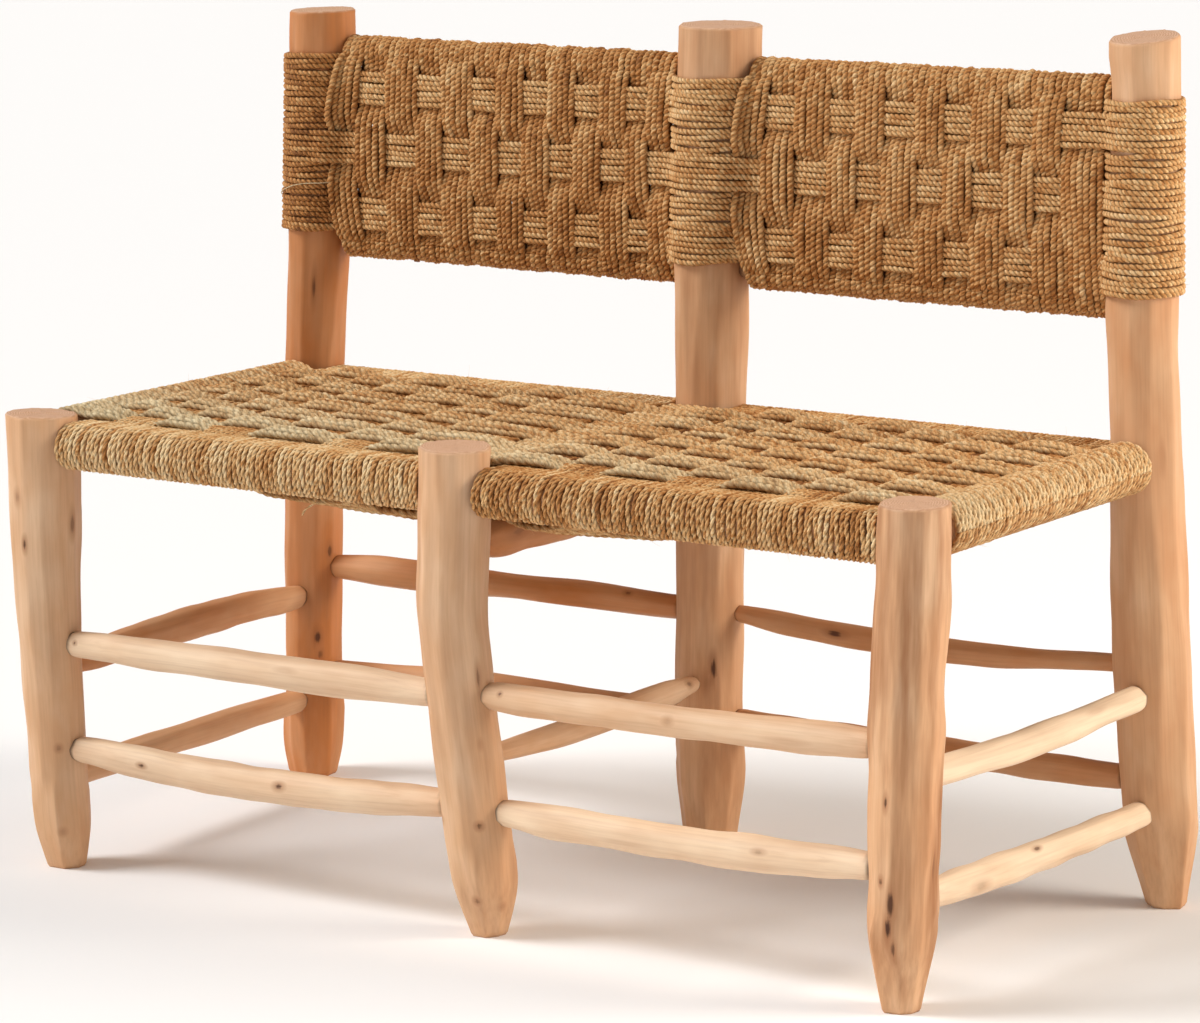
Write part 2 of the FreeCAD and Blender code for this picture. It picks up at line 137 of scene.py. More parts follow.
# Slow random drifts: size and wavelength
ROPE_SWELL = (0.05, 0.04)
TONE_DRIFT = (0.07, 0.12)
ROW_DRIFT = (0.0006, 0.09)
ROW_LIFT = (0.0004, 0.07)
COLUMN_DRIFT = (0.0004, 0.09)
COLUMN_LIFT = (0.0002, 0.06)
ROLL_DRIFT = (0.0008, 0.05)
UPRIGHT_DRIFT = (0.0005, 0.08)
UPRIGHT_LIFT = (0.0003, 0.06)
LEVEL_DRIFT = (0.0006, 0.10)
WRAP_DRIFT = (0.0009, 0.09)
WRAP_LIFT = (0.0002, 0.1)
FLAT_DRIFT = (0.006, 0.25)

# Colours in sRGB, with their places where they form a ramp
WOOD_TINTS = ((0.0, (243, 217, 186)), (0.5, (218, 172, 131)), (1.0, (196, 124, 68)))
WOOD_STREAK = (160, 108, 70)
WOOD_GRAIN = (156, 104, 66)
KNOT_RING = (156, 98, 58)
KNOT_CORE = (78, 44, 26)
SAWN_TINTS = ((0.0, (196, 150, 118)), (1.0, (222, 184, 154)))
SAW_MARK = (176, 130, 100)
# Colour of the painted shade where the rungs enter the uprights
JOINT_SHADE_COLOUR = (70, 42, 26)
BROWN_ROPE = ((0.0, (122, 74, 34)), (0.35, (190, 129, 69)), (0.65, (222, 176, 119)), (1.0, (246, 216, 168)))
GREY_ROPE = ((0.0, (128, 106, 72)), (0.5, (196, 177, 137)), (1.0, (236, 224, 188)))

# Year rings in radians for each metre, their wobble in radians, and strengths of the painted shade in the
# joints and of shine
RING_RADIANS = 2600.0
RING_WOBBLE = 9.0
JOINT_SHADE = 0.8
SPECULAR = 0.3


# Shading
def linear(colour):
    """Scene colour of an sRGB colour given from 0 to 255."""
    shares = np.array(colour) / 255
    return (*np.where(shares <= 0.04045, shares / 12.92, ((shares + 0.055) / 1.055) ** 2.4), 1.0)


class Nodes:
    """Adds shader nodes to a material one after another and links sockets given as inputs."""

    def __init__(self, name):
        self.material = bpy.data.materials.new(name)
        self.material.use_nodes = True
        self.tree = self.material.node_tree
        self.tree.nodes.clear()

    def feed(self, socket, value):
        if isinstance(value, bpy.types.NodeSocket):
            self.tree.links.new(value, socket)
        else:
            socket.default_value = value

    def add(self, kind, inputs=None, **settings):
        node = self.tree.nodes.new(kind)
        for key, value in settings.items():
            setattr(node, key, value)
        for key, value in (inputs or {}).items():
            self.feed(node.inputs[key], value)
        return node

    def math(self, operation, first, second=0.0):
        return self.add("ShaderNodeMath", {0: first, 1: second}, operation=operation).outputs[0]

    def plus(self, first, second):
        return self.math("ADD", first, second)

    def times(self, first, second):
        return self.math("MULTIPLY", first, second)

    def attribute(self, name, output="Fac"):
        return self.add("ShaderNodeAttribute", attribute_name=name).outputs[output]

    def noise(self, vector, scale, detail=3.0):
        placed = self.add("ShaderNodeMapping", {"Vector": vector, "Scale": scale}).outputs[0]
        inputs = {"Vector": placed, "Scale": 1.0, "Detail": detail, "Roughness": 0.55}
        return self.add("ShaderNodeTexNoise", inputs).outputs["Fac"]

    def ramp(self, factor, stops):
        node = self.add("ShaderNodeValToRGB", {"Fac": factor})
        elements = node.color_ramp.elements
        while len(elements) < len(stops):
            elements.new(0.5)
        for element, (place, colour) in zip(elements, stops):
            element.position = place
            element.color = linear(colour)
        return node.outputs["Color"]

    def spread(self, value, low, high, out_low=0.0, out_high=1.0):
        inputs = {"Value": value, "From Min": low, "From Max": high, "To Min": out_low, "To Max": out_high}
        return self.add("ShaderNodeMapRange", inputs).outputs[0]

    def mix(self, factor, first, second, blend="MIX"):
        """Mix of two colours; the second may be a plain sRGB one."""
        node = self.add("ShaderNodeMix", data_type="RGBA", blend_type=blend)
        second = linear(second) if isinstance(second, tuple) else second
        sockets = [s for s in node.inputs if s.enabled]
        for socket, value in zip(sockets, (factor, first, second)):
            self.feed(socket, value)
        return [s for s in node.outputs if s.enabled][0]

    def finish(self, colour, roughness, height, bump, distance):
        normal = self.add("ShaderNodeBump", {"Height": height, "Strength": bump, "Distance": distance})
        surface = self.add("ShaderNodeBsdfPrincipled", {
            "Base Color": colour, "Roughness": roughness, "Normal": normal.outputs[0],
            "Specular IOR Level": SPECULAR})
        self.add("ShaderNodeOutputMaterial", {"Surface": surface.outputs[0]})
        return self.material


def wood_material():
    """Peeled and shaved pole wood: long grain, darker streaks, knots, end grain, and painted shade in the
    joints where the rungs enter the uprights.
    """
    n = Nodes("peeled_wood_looks")
    grain = n.attribute("grain", "Vector")
    fine = n.noise(grain, (420, 420, 9), 4.0)
    streaks = n.noise(grain, (55, 55, 5), 4.0)
    patches = n.noise(grain, (22, 22, 9))
    shade = n.plus(n.attribute("tint"), n.spread(patches, 0.3, 0.7, 0.16, -0.16))
    colour = n.ramp(shade, WOOD_TINTS)
    worn = n.times(n.spread(streaks, 0.40, 0.74, 0, 0.5), n.attribute("wear"))
    colour = n.mix(worn, colour, WOOD_STREAK)
    colour = n.mix(n.spread(fine, 0.45, 0.85, 0.0, 0.24), colour, WOOD_GRAIN)
    ragged = n.plus(n.attribute("knot"), n.spread(fine, 0.25, 0.75, -0.3, 0.3))
    dark = n.attribute("dark")
    ring = n.times(n.spread(ragged, 0.9, 2.2, 0.6, 0.0), dark)
    core = n.times(n.spread(ragged, 0.5, 0.95, 1.0, 0.0), n.spread(dark, 0.45, 0.95))
    colour = n.mix(ring, colour, KNOT_RING)
    colour = n.mix(core, colour, KNOT_CORE)
    across = n.add("ShaderNodeSeparateXYZ", {0: grain}).outputs
    reach = n.math("SQRT", n.plus(n.math("POWER", across[0], 2.0), n.math("POWER", across[1], 2.0)))
    wobble = n.times(n.noise(grain, (60, 60, 60)), RING_WOBBLE)
    rings = n.math("SINE", n.plus(n.times(reach, RING_RADIANS), wobble))
    saw = n.noise(grain, (900, 140, 10), 2.0)
    sawn = n.ramp(n.spread(rings, -1, 1), SAWN_TINTS)
    sawn = n.mix(n.spread(saw, 0.45, 0.75, 0, 0.45), sawn, SAW_MARK)
    colour = n.mix(n.attribute("end"), colour, sawn)
    # Painted shade in the joints, darkest where a rung enters an upright
    colour = n.mix(n.times(n.attribute("joint"), JOINT_SHADE), colour, JOINT_SHADE_COLOUR)
    roughness = n.spread(streaks, 0.3, 0.8, 0.5, 0.72)
    height = n.plus(n.times(fine, 0.4), n.times(streaks, 0.8))
    return n.finish(colour, roughness, height, bump=0.22, distance=0.0012)


def rope_material():
    """Two-ply palm rope: fibres along the plies, painted shade in the grooves between them and on the flanks
    of each strand, straw to brown and greyish green.
    """
    n = Nodes("palm_rope_looks")
    place = n.add("ShaderNodeUVMap", uv_map="rope").outputs[0]
    parts = n.add("ShaderNodeSeparateXYZ", {0: place}).outputs
    lobe = n.math("ABSOLUTE", n.math("COSINE", n.times(parts[0], tau)))
    tone = n.attribute("tone")
    spot = n.add("ShaderNodeCombineXYZ", {0: parts[0], 1: parts[1], 2: tone}).outputs[0]
    fibres = n.noise(spot, (9, 260, 40))
    blotches = n.noise(spot, (0.5, 28, 90), 2.0)
    level = n.plus(tone, n.spread(blotches, 0.3, 0.7, -0.2, 0.2))
    level = n.plus(level, n.spread(fibres, 0.25, 0.75, -0.26, 0.26))
    colour = n.mix(n.attribute("grey"), n.ramp(level, BROWN_ROPE), n.ramp(level, GREY_ROPE))
    # Painted shade in the grooves between the plies, made fainter by the rope's softness
    groove_shade = n.math("MAXIMUM", n.spread(lobe, 0.0, 0.65, 0.42, 1.0), n.attribute("soft"))
    # Painted shade on the flanks of each strand, where it presses against its neighbours
    shade = n.times(groove_shade, n.spread(n.attribute("cleft"), 0.7, 1.0, 1.0, 0.45))
    colour = n.mix(1.0, colour, shade, "MULTIPLY")
    roughness = n.spread(fibres, 0.2, 0.8, 0.62, 0.88)
    height = n.plus(n.times(lobe, 0.9), n.times(fibres, 0.5))
    return n.finish(colour, roughness, height, bump=0.65, distance=0.0009)


LOOKS = {"peeled_wood": wood_material(), "palm_rope": rope_material()}


# Meshes
def make_piece(name, slot, nodes, vertices, sizes, loops, uv=None, **attributes):
    """A smooth-shaded piece from flat arrays: corner counts and corner numbers of its faces."""
    mesh = bpy.data.meshes.new(name)
    mesh.vertices.add(len(vertices))
    mesh.vertices.foreach_set("co", vertices.astype(np.float32).ravel())
    mesh.loops.add(len(loops))
    mesh.loops.foreach_set("vertex_index", loops.astype(np.int32))
    mesh.polygons.add(len(sizes))
    starts = np.concatenate([[0], np.cumsum(sizes)[:-1]])
    mesh.polygons.foreach_set("loop_start", starts.astype(np.int32))
    mesh.update(calc_edges=True)
    mesh.polygons.foreach_set("use_smooth", np.ones(len(sizes), bool))
    if uv is not None:
        layer = mesh.uv_layers.new(name="rope")
        layer.data.foreach_set("uv", uv.astype(np.float32).ravel())
    for key, values in attributes.items():
        kind, field = ("FLOAT_VECTOR", "vector") if values.ndim == 2 else ("FLOAT", "value")
        mesh.attributes.new(key, kind, "POINT").data.foreach_set(field, values.astype(np.float32).ravel())
    mesh.materials.append(LOOKS[slot])
    piece = bpy.data.objects.new(name, mesh)
    scene.collection.objects.link(piece)
    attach(piece, "root")
    if nodes:
        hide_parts(*nodes)


def tube_faces(count, sides, first=0):
    """Corner numbers of the quads of a tube, ring by ring."""
    ring = first + sides * np.arange(count - 1)[:, None]
    k = np.arange(sides)[None, :]
    after = (k + 1) % sides
    return np.stack([ring + k, ring + after, ring + sides + after, ring + sides + k], 2).ravel()


def closed_tube(count, sides, first=0):
    """Corner counts and corner numbers of the faces of a tube with flat ends."""
    rim = first + np.arange(sides)
    sizes = np.repeat([4, sides], [sides * (count - 1), 2])
    return sizes, np.concatenate([tube_faces(count, sides, first), rim[::-1], rim + sides * (count - 1)])


def line(x, y, z):
    """Points of a line from its coordinates, each given per point or once for all."""
    return np.stack(np.broadcast_arrays(x, y, z), 1)


def along(path):
    """Distance from the start of a path to each of its points."""
    steps = np.linalg.norm(np.diff(path, axis=0), axis=1)
    return np.concatenate([[0], np.cumsum(steps)])


def even(path, step):
    """The same path with its points about a step apart."""
    run = along(path)
    count = max(int(round(run[-1] / step)), 3)
    places = np.linspace(0, run[-1], count + 1)
    return np.stack([np.interp(places, run, path[:, i]) for i in range(3)], 1)


def soften(values, spread):
    """Values of a line smoothed by a bell curve that is spread over so many of them."""
    reach = int(3 * spread) + 1
    bell = np.exp(-0.5 * (np.arange(-reach, reach + 1) / spread) ** 2)
    padded = np.pad(values, reach, mode="reflect", reflect_type="odd")
    return np.convolve(padded, bell / bell.sum(), mode="valid")


WAVES = 3
WAVE_STRETCHES = (0.6, 1.6)
WAVES_SUM = 1.7


def wander(places, size, wavelength):
    """A slow random drift along a line, of about the given size."""
    total = np.zeros_like(places)
    for _ in range(WAVES):
        stretch = wavelength * rng.uniform(*WAVE_STRETCHES)
        total += np.sin(tau * (places / stretch + rng.random()))
    return total * size / WAVES_SUM


def at_points(value, points):
    """A value for each point, given as a number or as a function of the points."""
    return np.broadcast_to(value(points) if callable(value) else value, len(points))


FIBRES_PER_METRE = 9.0
fibre_roots = []


class Strands:
    """Gathers tubes of twisted rope and makes one piece of them."""

    def __init__(self):
        self.parts = {}
        self.count = 0

    def add(self, path, side, radius, lay, tone, grey=0.0, fine=True, soft=0.0):
        """One tube along a path that lies about square to side."""
        path = even(path, FINE_STEP if fine else COARSE_STEP)
        run = along(path) + rng.uniform(0, lay)
        ahead = np.gradient(path, axis=0)
        ahead /= np.linalg.norm(ahead, axis=1)[:, None]
        across = np.array(side, float) - ahead * (ahead @ np.array(side, float))[:, None]
        across /= np.linalg.norm(across, axis=1)[:, None]
        up = np.cross(ahead, across)
        turn = tau * run / lay
        n = len(path)
        girth = at_points(radius, path)[:, None]
        if fine:
            angles = PLY_ANGLES[None, :] + turn[:, None]
            reach = (PLY_RADII + (1 - PLY_RADII) * soft / 2) * girth
            lobes = np.broadcast_to(np.append(PLY_ANGLES, tau), (n, len(PLY_ANGLES) + 1))
        else:
            angles = np.broadcast_to(ROUND_ANGLES, (n, len(ROUND_ANGLES)))
            reach = np.full(angles.shape, ROUND_RADIUS) * girth
            lobes = np.append(ROUND_ANGLES, tau)[None, :] - turn[:, None]
        sides = angles.shape[1]
        swell = 1 + wander(run, *ROPE_SWELL)
        reach = reach * swell[:, None]
        corners = path[:, None] + across[:, None] * (reach * np.cos(angles))[:, :, None]
        corners = corners + up[:, None] * (reach * np.sin(angles))[:, :, None]
        sizes, loops = closed_tube(n, sides, self.count)
        u = np.stack([lobes[:-1, :-1], lobes[:-1, 1:], lobes[1:, 1:], lobes[1:, :-1]], 2) / tau
        low = np.broadcast_to(run[:-1, None], u.shape[:2])
        high = np.broadcast_to(run[1:, None], u.shape[:2])
        v = np.stack([low, low, high, high], 2)
        shades = np.clip(at_points(tone, path) + wander(run, *TONE_DRIFT), 0, 1)
        arrays = dict(
            vertices=corners.reshape(-1, 3),
            sizes=sizes,
            loops=loops,
            uv=np.concatenate([np.stack([u, v], 3).reshape(-1, 2), np.zeros((2 * sides, 2))]),
            tone=np.repeat(shades, sides),
            grey=np.repeat(at_points(grey, path), sides),
            soft=np.full(angles.size, soft),
            # how far each corner faces sideways, for the painted shade on a strand's flanks
            cleft=(np.abs(np.cos(angles)) * reach / girth).ravel())
        for key, values in arrays.items():
            self.parts.setdefault(key, []).append(values)
        if fine:
            for at in rng.integers(2, n - 2, rng.poisson(run[-1] * FIBRES_PER_METRE)):
                out = corners[at, rng.integers(0, sides)] - path[at]
                fibre_roots.append((path[at] + out, out / np.linalg.norm(out), ahead[at]))
        self.count += sides * n

    def build(self, name, *nodes):
        joined = {key: np.concatenate(arrays) for key, arrays in self.parts.items()}
        make_piece(name, "palm_rope", nodes, **joined)


# Poles of the frame, read off its nodes
def node_mesh(name):
    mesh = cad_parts[name].data
    points = np.empty(3 * len(mesh.vertices))
    mesh.vertices.foreach_get("co", points)
    mesh.calc_loop_triangles()
    corners = np.empty(3 * len(mesh.loop_triangles), int)
    mesh.loop_triangles.foreach_get("vertices", corners)
    return points.reshape(-1, 3), corners.reshape(-1, 3)


def outlines(name, way, places):
    """Centre and mean radius of a pole where planes square to way cut it, its mortises closed over."""
    points, triangles = node_mesh(name)
    across = np.cross(way, [0.0, 0.0, 1.0] if abs(way[2]) < 0.9 else [0.0, 1.0, 0.0])
    across /= np.linalg.norm(across)
    up = np.cross(across, way)
    heights = points @ way
    centres = []
    radii = []
    for place in places:
        cut = []
        for a, b in ((0, 1), (1, 2), (2, 0)):
            below = heights[triangles[:, a]] - place
            above = heights[triangles[:, b]] - place
            crossing = (below < 0) != (above < 0)
            share = below[crossing] / (below[crossing] - above[crossing])
            start = points[triangles[crossing, a]]
            cut.append(start + (points[triangles[crossing, b]] - start) * share[:, None])
        cut = np.concatenate(cut)
        level = np.stack([cut @ across, cut @ up], 1)
        hull = level[convex_hull_2d([Vector(p) for p in level])]
        after = np.roll(hull, -1, 0)
        cross = hull[:, 0] * after[:, 1] - after[:, 0] * hull[:, 1]
        middle = ((hull + after) * cross[:, None]).sum(0) / (3 * cross.sum())
        centres.append(across * middle[0] + up * middle[1] + np.array(way) * place)
        radii.append(math.sqrt(abs(cross.sum()) / 2 / pi))
    return np.array(centres), np.array(radii)


HEAD_FACING = 0.95
HEAD_DEPTH = 0.02
CUT_START = 0.001
CUT_STEP = 0.006
CUT_END = 0.012
AXIS_SOFT = 3
RADIUS_SOFT = 1.5


class Upright:
    """Axis and radius of a leg or post by height, and the plane of its sawn head."""

    def __init__(self, name):
        self.name = name
        points, triangles = node_mesh(name)
        top = points[:, 2].max()
        corners = points[triangles]
        normal = np.cross(corners[:, 1] - corners[:, 0], corners[:, 2] - corners[:, 0])
        size = np.linalg.norm(normal, axis=1)
        facing = normal[:, 2] / np.maximum(size, 1e-12)
        sawn = (facing > HEAD_FACING) & (corners[:, :, 2].mean(1) > top - HEAD_DEPTH)
        self.head_normal = normal[sawn].sum(0)
        self.head_normal /= np.linalg.norm(self.head_normal)
        self.head = (corners[sawn].mean(1) * size[sawn, None]).sum(0) / size[sawn].sum()
        self.places = np.arange(CUT_START, self.head[2] - CUT_END, CUT_STEP)
        centres, radii = outlines(name, np.array([0.0, 0.0, 1.0]), self.places)
        self.x = soften(centres[:, 0], AXIS_SOFT)
        self.y = soften(centres[:, 1], AXIS_SOFT)
        self.r = soften(radii, RADIUS_SOFT)

    def axis(self, height):
        return np.interp(height, self.places, self.x), np.interp(height, self.places, self.y)

    def radius(self, height):
        return np.interp(height, self.places, self.r)

    def clearance(self, points):
        """How far points lie outside the pole."""
        x, y = self.axis(points[:, 2])
        return np.hypot(points[:, 0] - x, points[:, 1] - y) - self.radius(points[:, 2])


FLAT_PLACES = (-0.25, 0.25)
FLAT_DEPTHS = (-0.02, 0.02)
FLAT_WAVE = 0.3
FLAT_LEAST = 0.3
SWELL_COUNT = 9
SWELL_WAVES = (0.05, 0.3)


def facets(angles, places, count, depth, drift, sharp=70.0):
    """Share of the radius at each place and angle on a pole shaved to uneven flats."""
    total = np.zeros((len(places), len(angles)))
    for i in range(count):
        centre = tau * (i + rng.uniform(*FLAT_PLACES)) / count
        facing = centre + wander(places, drift, FLAT_WAVE)
        out = 1 + rng.uniform(*FLAT_DEPTHS) + wander(places, *FLAT_DRIFT)
        lean = np.cos(angles[None, :] - facing[:, None])
        reach = out[:, None] / np.maximum(lean, FLAT_LEAST)
        total += np.exp(-sharp * reach)
    shape = -np.log(total) / sharp
    shape /= shape.mean(1)[:, None]
    return 1 + (shape - 1) * depth[:, None]


def swells(angles, places, size):
    """Soft lumps and hollows of a grown pole."""
    total = np.zeros((len(places), len(angles)))
    for _ in range(SWELL_COUNT):
        waves = rng.integers(0, 4)
        stretch = rng.uniform(*SWELL_WAVES)
        phase = rng.uniform(0, tau)
        total += np.sin(waves * angles[None, :] + tau * places[:, None] / stretch + phase)
    return total * size / 3


KNOT_REACH = 6.0
KNOT_SWELL = 0.0009
KNOT_PIT = 0.0014
SWELL_FALL = 0.3
PIT_FALL = 2


def knot_field(angles, places, radii, knots, scale, to_camera):
    """Distance to the nearest knot in its half sizes, that knot's darkness, and how far the knots stand out.

    A knot's place is given in thousandths of the scale, its angle in degrees from the side that faces the
    camera, and its half length and half width in millimetres.
    """
    near = np.full((len(places), len(angles)), KNOT_REACH)
    dark = np.zeros_like(near)
    out = np.zeros_like(near)
    for place, degrees, length, width, strength in knots:
        angle = to_camera + math.radians(degrees)
        turn = (angles - angle + pi) % tau - pi
        off = places[:, None] - place / 1000 * scale
        apart = np.hypot(off / (length / 1000), radii[:, None] * turn[None, :] / (width / 1000))
        dark = np.where(apart < near, strength, dark)
        near = np.minimum(near, apart)
        pit = KNOT_PIT * np.exp(-PIT_FALL * apart ** 2)
        out += strength * (KNOT_SWELL * np.exp(-SWELL_FALL * apart ** 2) - pit)
    return near, dark, out


def pole_piece(node, rows, caps, tint, wear, **attributes):
    """A pole's skin from rows of points round it, closed by a fan at each end."""
    count, sides = rows.shape[:2]
    total = count * sides
    last = total - sides
    k = np.arange(sides)
    after = (k + 1) % sides
    bottom = np.stack([after, k, np.full(sides, total)], 1)
    top = np.stack([last + k, last + after, np.full(sides, total + 1)], 1)
    sizes = np.repeat([4, 3], [last, 2 * sides])
    loops = np.concatenate([tube_faces(count, sides), bottom.ravel(), top.ravel()])
    vertices = np.concatenate([rows.reshape(-1, 3), caps])
    for key, values in attributes.items():
        ends = np.stack([values[0].mean(0), values[-1].mean(0)])
        attributes[key] = np.concatenate([values.reshape(total, *values.shape[2:]), ends])
    attributes["tint"] = np.full(len(vertices), tint)
    attributes["wear"] = np.full(len(vertices), wear)
    make_piece(f"wood_{node}", "peeled_wood", [node], vertices, sizes, loops, **attributes)


UPRIGHT_SIDES = 96
UPRIGHT_STEP = 0.003
UPRIGHT_FLATS = 11
UPRIGHT_SHAVED = 0.9
UPRIGHT_TWIST = 0.12
UPRIGHT_SWELL = 0.0008
FOOT_FLATS = 8
FOOT_TWIST = 0.03
FOOT_SHARP = 240.0
FOOT_RISE = 0.07
FOOT_BLEND = 0.02
FOOT_BEVEL = 0.0015
HEAD_BEVEL = 0.002
HEAD_CHIPS = 0.5
HEAD_BLEND = 0.05
HEAD_ROUGHNESS = 0.00025
CAP_SHARES = (0.97, 0.85, 0.6, 0.3)
GRAIN_STARTS = (1, 9)


def make_upright(pole, tint, wear, knots):
    """A leg or post: shaved sides, a hewn foot and a sawn, slightly tilted head with a knocked-off rim."""
    rise = pole.head[2]
    places = np.concatenate([np.arange(0, rise - HEAD_BEVEL, UPRIGHT_STEP), [rise - HEAD_BEVEL, rise]])
    angles = np.linspace(0, tau, UPRIGHT_SIDES, endpoint=False)
    radii = pole.radius(places)
    hewn = np.interp(places, [0, FOOT_RISE, FOOT_RISE + FOOT_BLEND, 1], [1, 1, 0, 0])
    near, dark, out = knot_field(angles, places, radii, knots, 1.0, TO_CAMERA)
    reach = radii[:, None] * facets(angles, places, UPRIGHT_FLATS, UPRIGHT_SHAVED * (1 - hewn), UPRIGHT_TWIST)
    reach *= facets(angles, places, FOOT_FLATS, hewn, FOOT_TWIST, FOOT_SHARP)
    reach += swells(angles, places, UPRIGHT_SWELL) + out
    reach[-1] -= HEAD_BEVEL * (1 + HEAD_CHIPS * swells(angles, np.zeros(1), 1.0)[0])
    reach[0] -= FOOT_BEVEL
    x, y = pole.axis(places)
    rows = np.empty((len(places), UPRIGHT_SIDES, 3))
    rows[:, :, 0] = x[:, None] + reach * np.cos(angles)
    rows[:, :, 1] = y[:, None] + reach * np.sin(angles)
    normal = pole.head_normal
    from_head = rows[:, :, :2] - pole.head[:2]
    lean = -(from_head[:, :, 0] * normal[0] + from_head[:, :, 1] * normal[1]) / normal[2]
    share = np.clip((places - rise + HEAD_BLEND) / HEAD_BLEND, 0, 1)
    rows[:, :, 2] = places[:, None] + lean * share[:, None]
    centre = np.array([x[-1], y[-1], rise])
    discs = [centre + (rows[-1] - centre) * s for s in CAP_SHARES]
    for disc in discs:
        disc[:, 2] += rng.normal(0, HEAD_ROUGHNESS, UPRIGHT_SIDES)
    full = np.concatenate([rows, discs])
    extra = len(CAP_SHARES)
    more = ((0, extra), (0, 0))
    axis = np.pad(line(x, y, places), more, mode="edge")
    grain = full - axis[:, None]
    grain[:, :, 2] = axis[:, None, 2] + rng.uniform(*GRAIN_STARTS)
    end = np.zeros(full.shape[:2])
    end[-extra - 1:] = 1.0
    pole_piece(
        pole.name, full, np.array([[x[0], y[0], 0.0], centre]), tint, wear,
        grain=grain, knot=np.pad(near, more, constant_values=KNOT_REACH), dark=np.pad(dark, more), end=end,
        joint=np.zeros_like(end))


RUNG_SIDES = 40
RUNG_STEP = 0.003
RUNG_FLATS = 9
RUNG_SHAVED = 0.6
RUNG_TWIST = 0.15
RUNG_SWELL = 0.0007
RUNG_WEAR = 0.45
TENON_INSIDE = 0.006
TENON_ROUNDING = 0.006
TENON_SHARE = 0.9
RUNG_CUTS = 60
RUNG_INSET = 0.0005
RUNG_AXIS_SOFT = 1.5
RUNG_RADIUS_SOFT = 1.2
# The painted shade on a rung reaches this far out from the uprights it enters
JOINT_SHADE_REACH = 0.003


def make_rung(name, tint, knots=(), sides=RUNG_SIDES, step=RUNG_STEP, share=1.0):
    """A pole between two uprights, at a share of its girth, that rounds off where it enters its mortises."""
    points, _ = node_mesh(name)
    way = np.linalg.svd(points - points.mean(0))[2][0]
    if way[np.argmax(np.abs(way))] < 0:
        way = -way
    heights = points @ way
    coarse = np.linspace(heights.min() + RUNG_INSET, heights.max() - RUNG_INSET, RUNG_CUTS)
    centres, radii = outlines(name, way, coarse)
    places = np.arange(coarse[0], coarse[-1], step)
    axis = np.stack([np.interp(places, coarse, soften(values, RUNG_AXIS_SOFT)) for values in centres.T], 1)
    girth = np.interp(places, coarse, soften(radii, RUNG_RADIUS_SOFT)) * share
    depths = np.min([u.clearance(axis) for u in uprights.values()], axis=0)
    inside = depths > -TENON_INSIDE
    places, axis, girth, depths = (values[inside] for values in (places, axis, girth, depths))
    across = np.cross(way, [0.0, 0.0, 1.0])
    across /= np.linalg.norm(across)
    up = np.cross(across, way)
    angles = np.linspace(0, tau, sides, endpoint=False)
    facing = -np.array(LOOK)
    run = places - places[0]
    near, dark, out = knot_field(angles, run, girth, knots, run[-1], math.atan2(facing @ up, facing @ across))
    reach = girth[:, None] * facets(angles, run, RUNG_FLATS, np.full(len(run), RUNG_SHAVED), RUNG_TWIST)
    reach += swells(angles, run, RUNG_SWELL) + out
    round_off = np.clip(depths / TENON_ROUNDING, 0, 1)
    reach *= (TENON_SHARE + (1 - TENON_SHARE) * np.sqrt(round_off))[:, None]
    grain = np.empty((*reach.shape, 3))
    grain[:, :, 0] = reach * np.cos(angles)
    grain[:, :, 1] = reach * np.sin(angles)
    grain[:, :, 2] = run[:, None] + rng.uniform(*GRAIN_STARTS)
    rows = axis[:, None] + across * grain[:, :, :1] + up * grain[:, :, 1:2]
    # Painted shade on the rung close to the uprights, as in a joint's crevice
    off = np.min([u.clearance(rows.reshape(-1, 3)) for u in uprights.values()], axis=0)
    joint = np.clip(1 - off.reshape(reach.shape) / JOINT_SHADE_REACH, 0, 1)
    pole_piece(
        name, rows, np.stack([axis[0], axis[-1]]), tint, RUNG_WEAR,
        grain=grain, knot=near, dark=dark, end=np.zeros_like(dark), joint=joint)


# Tint from pale to orange, partly the wood's own tone and partly painted shade that darkens the back left
# post,
# strength of the streaks, and knots: height, degrees from the side that faces the camera, half length, half
# width, darkness; lengths in millimetres
UPRIGHT_LOOKS = {
    "front_leg_left": (0.46, 0.4, [
        (357, -42, 6, 3, 0.6), (313, -29, 6, 2, 0.9), (330, 58, 10, 3, 0.7), (118, 11, 3, 3, 0.6),
        (38, 5, 3, 3, 0.5)]),
    "front_leg_middle": (0.45, 1.1, [
        (109, -68, 4, 3, 0.8), (107, 6, 3, 3, 0.8), (240, 35, 10, 2, 0.7), (37, -14, 3, 3, 0.7),
        (30, 40, 3, 3, 0.5), (180, 25, 4, 2, 0.4)]),
    "front_leg_right": (0.54, 2.3, [
        (78, -27, 10, 3, 1.0), (100, -23, 12, 3, 0.9), (60, -18, 8, 2, 0.8), (187, -34, 6, 2, 0.9),
        (130, 53, 18, 2, 0.6), (118, -42, 4, 2, 0.9), (285, -8, 40, 1.6, 0.45), (335, -14, 30, 1.6, 0.4),
        (180, 32, 30, 2, 0.4)]),
    "back_post_left": (0.94, 1.0, [
        (148, 11, 7, 4, 0.9), (130, 16, 6, 3, 0.7), (237, 35, 7, 3, 0.8), (508, -4, 14, 2, 0.8)]),
    "back_post_middle": (0.54, 1.2, [(172, 4, 11, 3, 0.9), (150, 12, 18, 2, 0.5), (158, -8, 8, 3, 0.5)]),
    "back_post_right": (0.54, 0.4, [(420, 20, 10, 2, 0.4), (120, -20, 8, 2, 0.3)]),
}
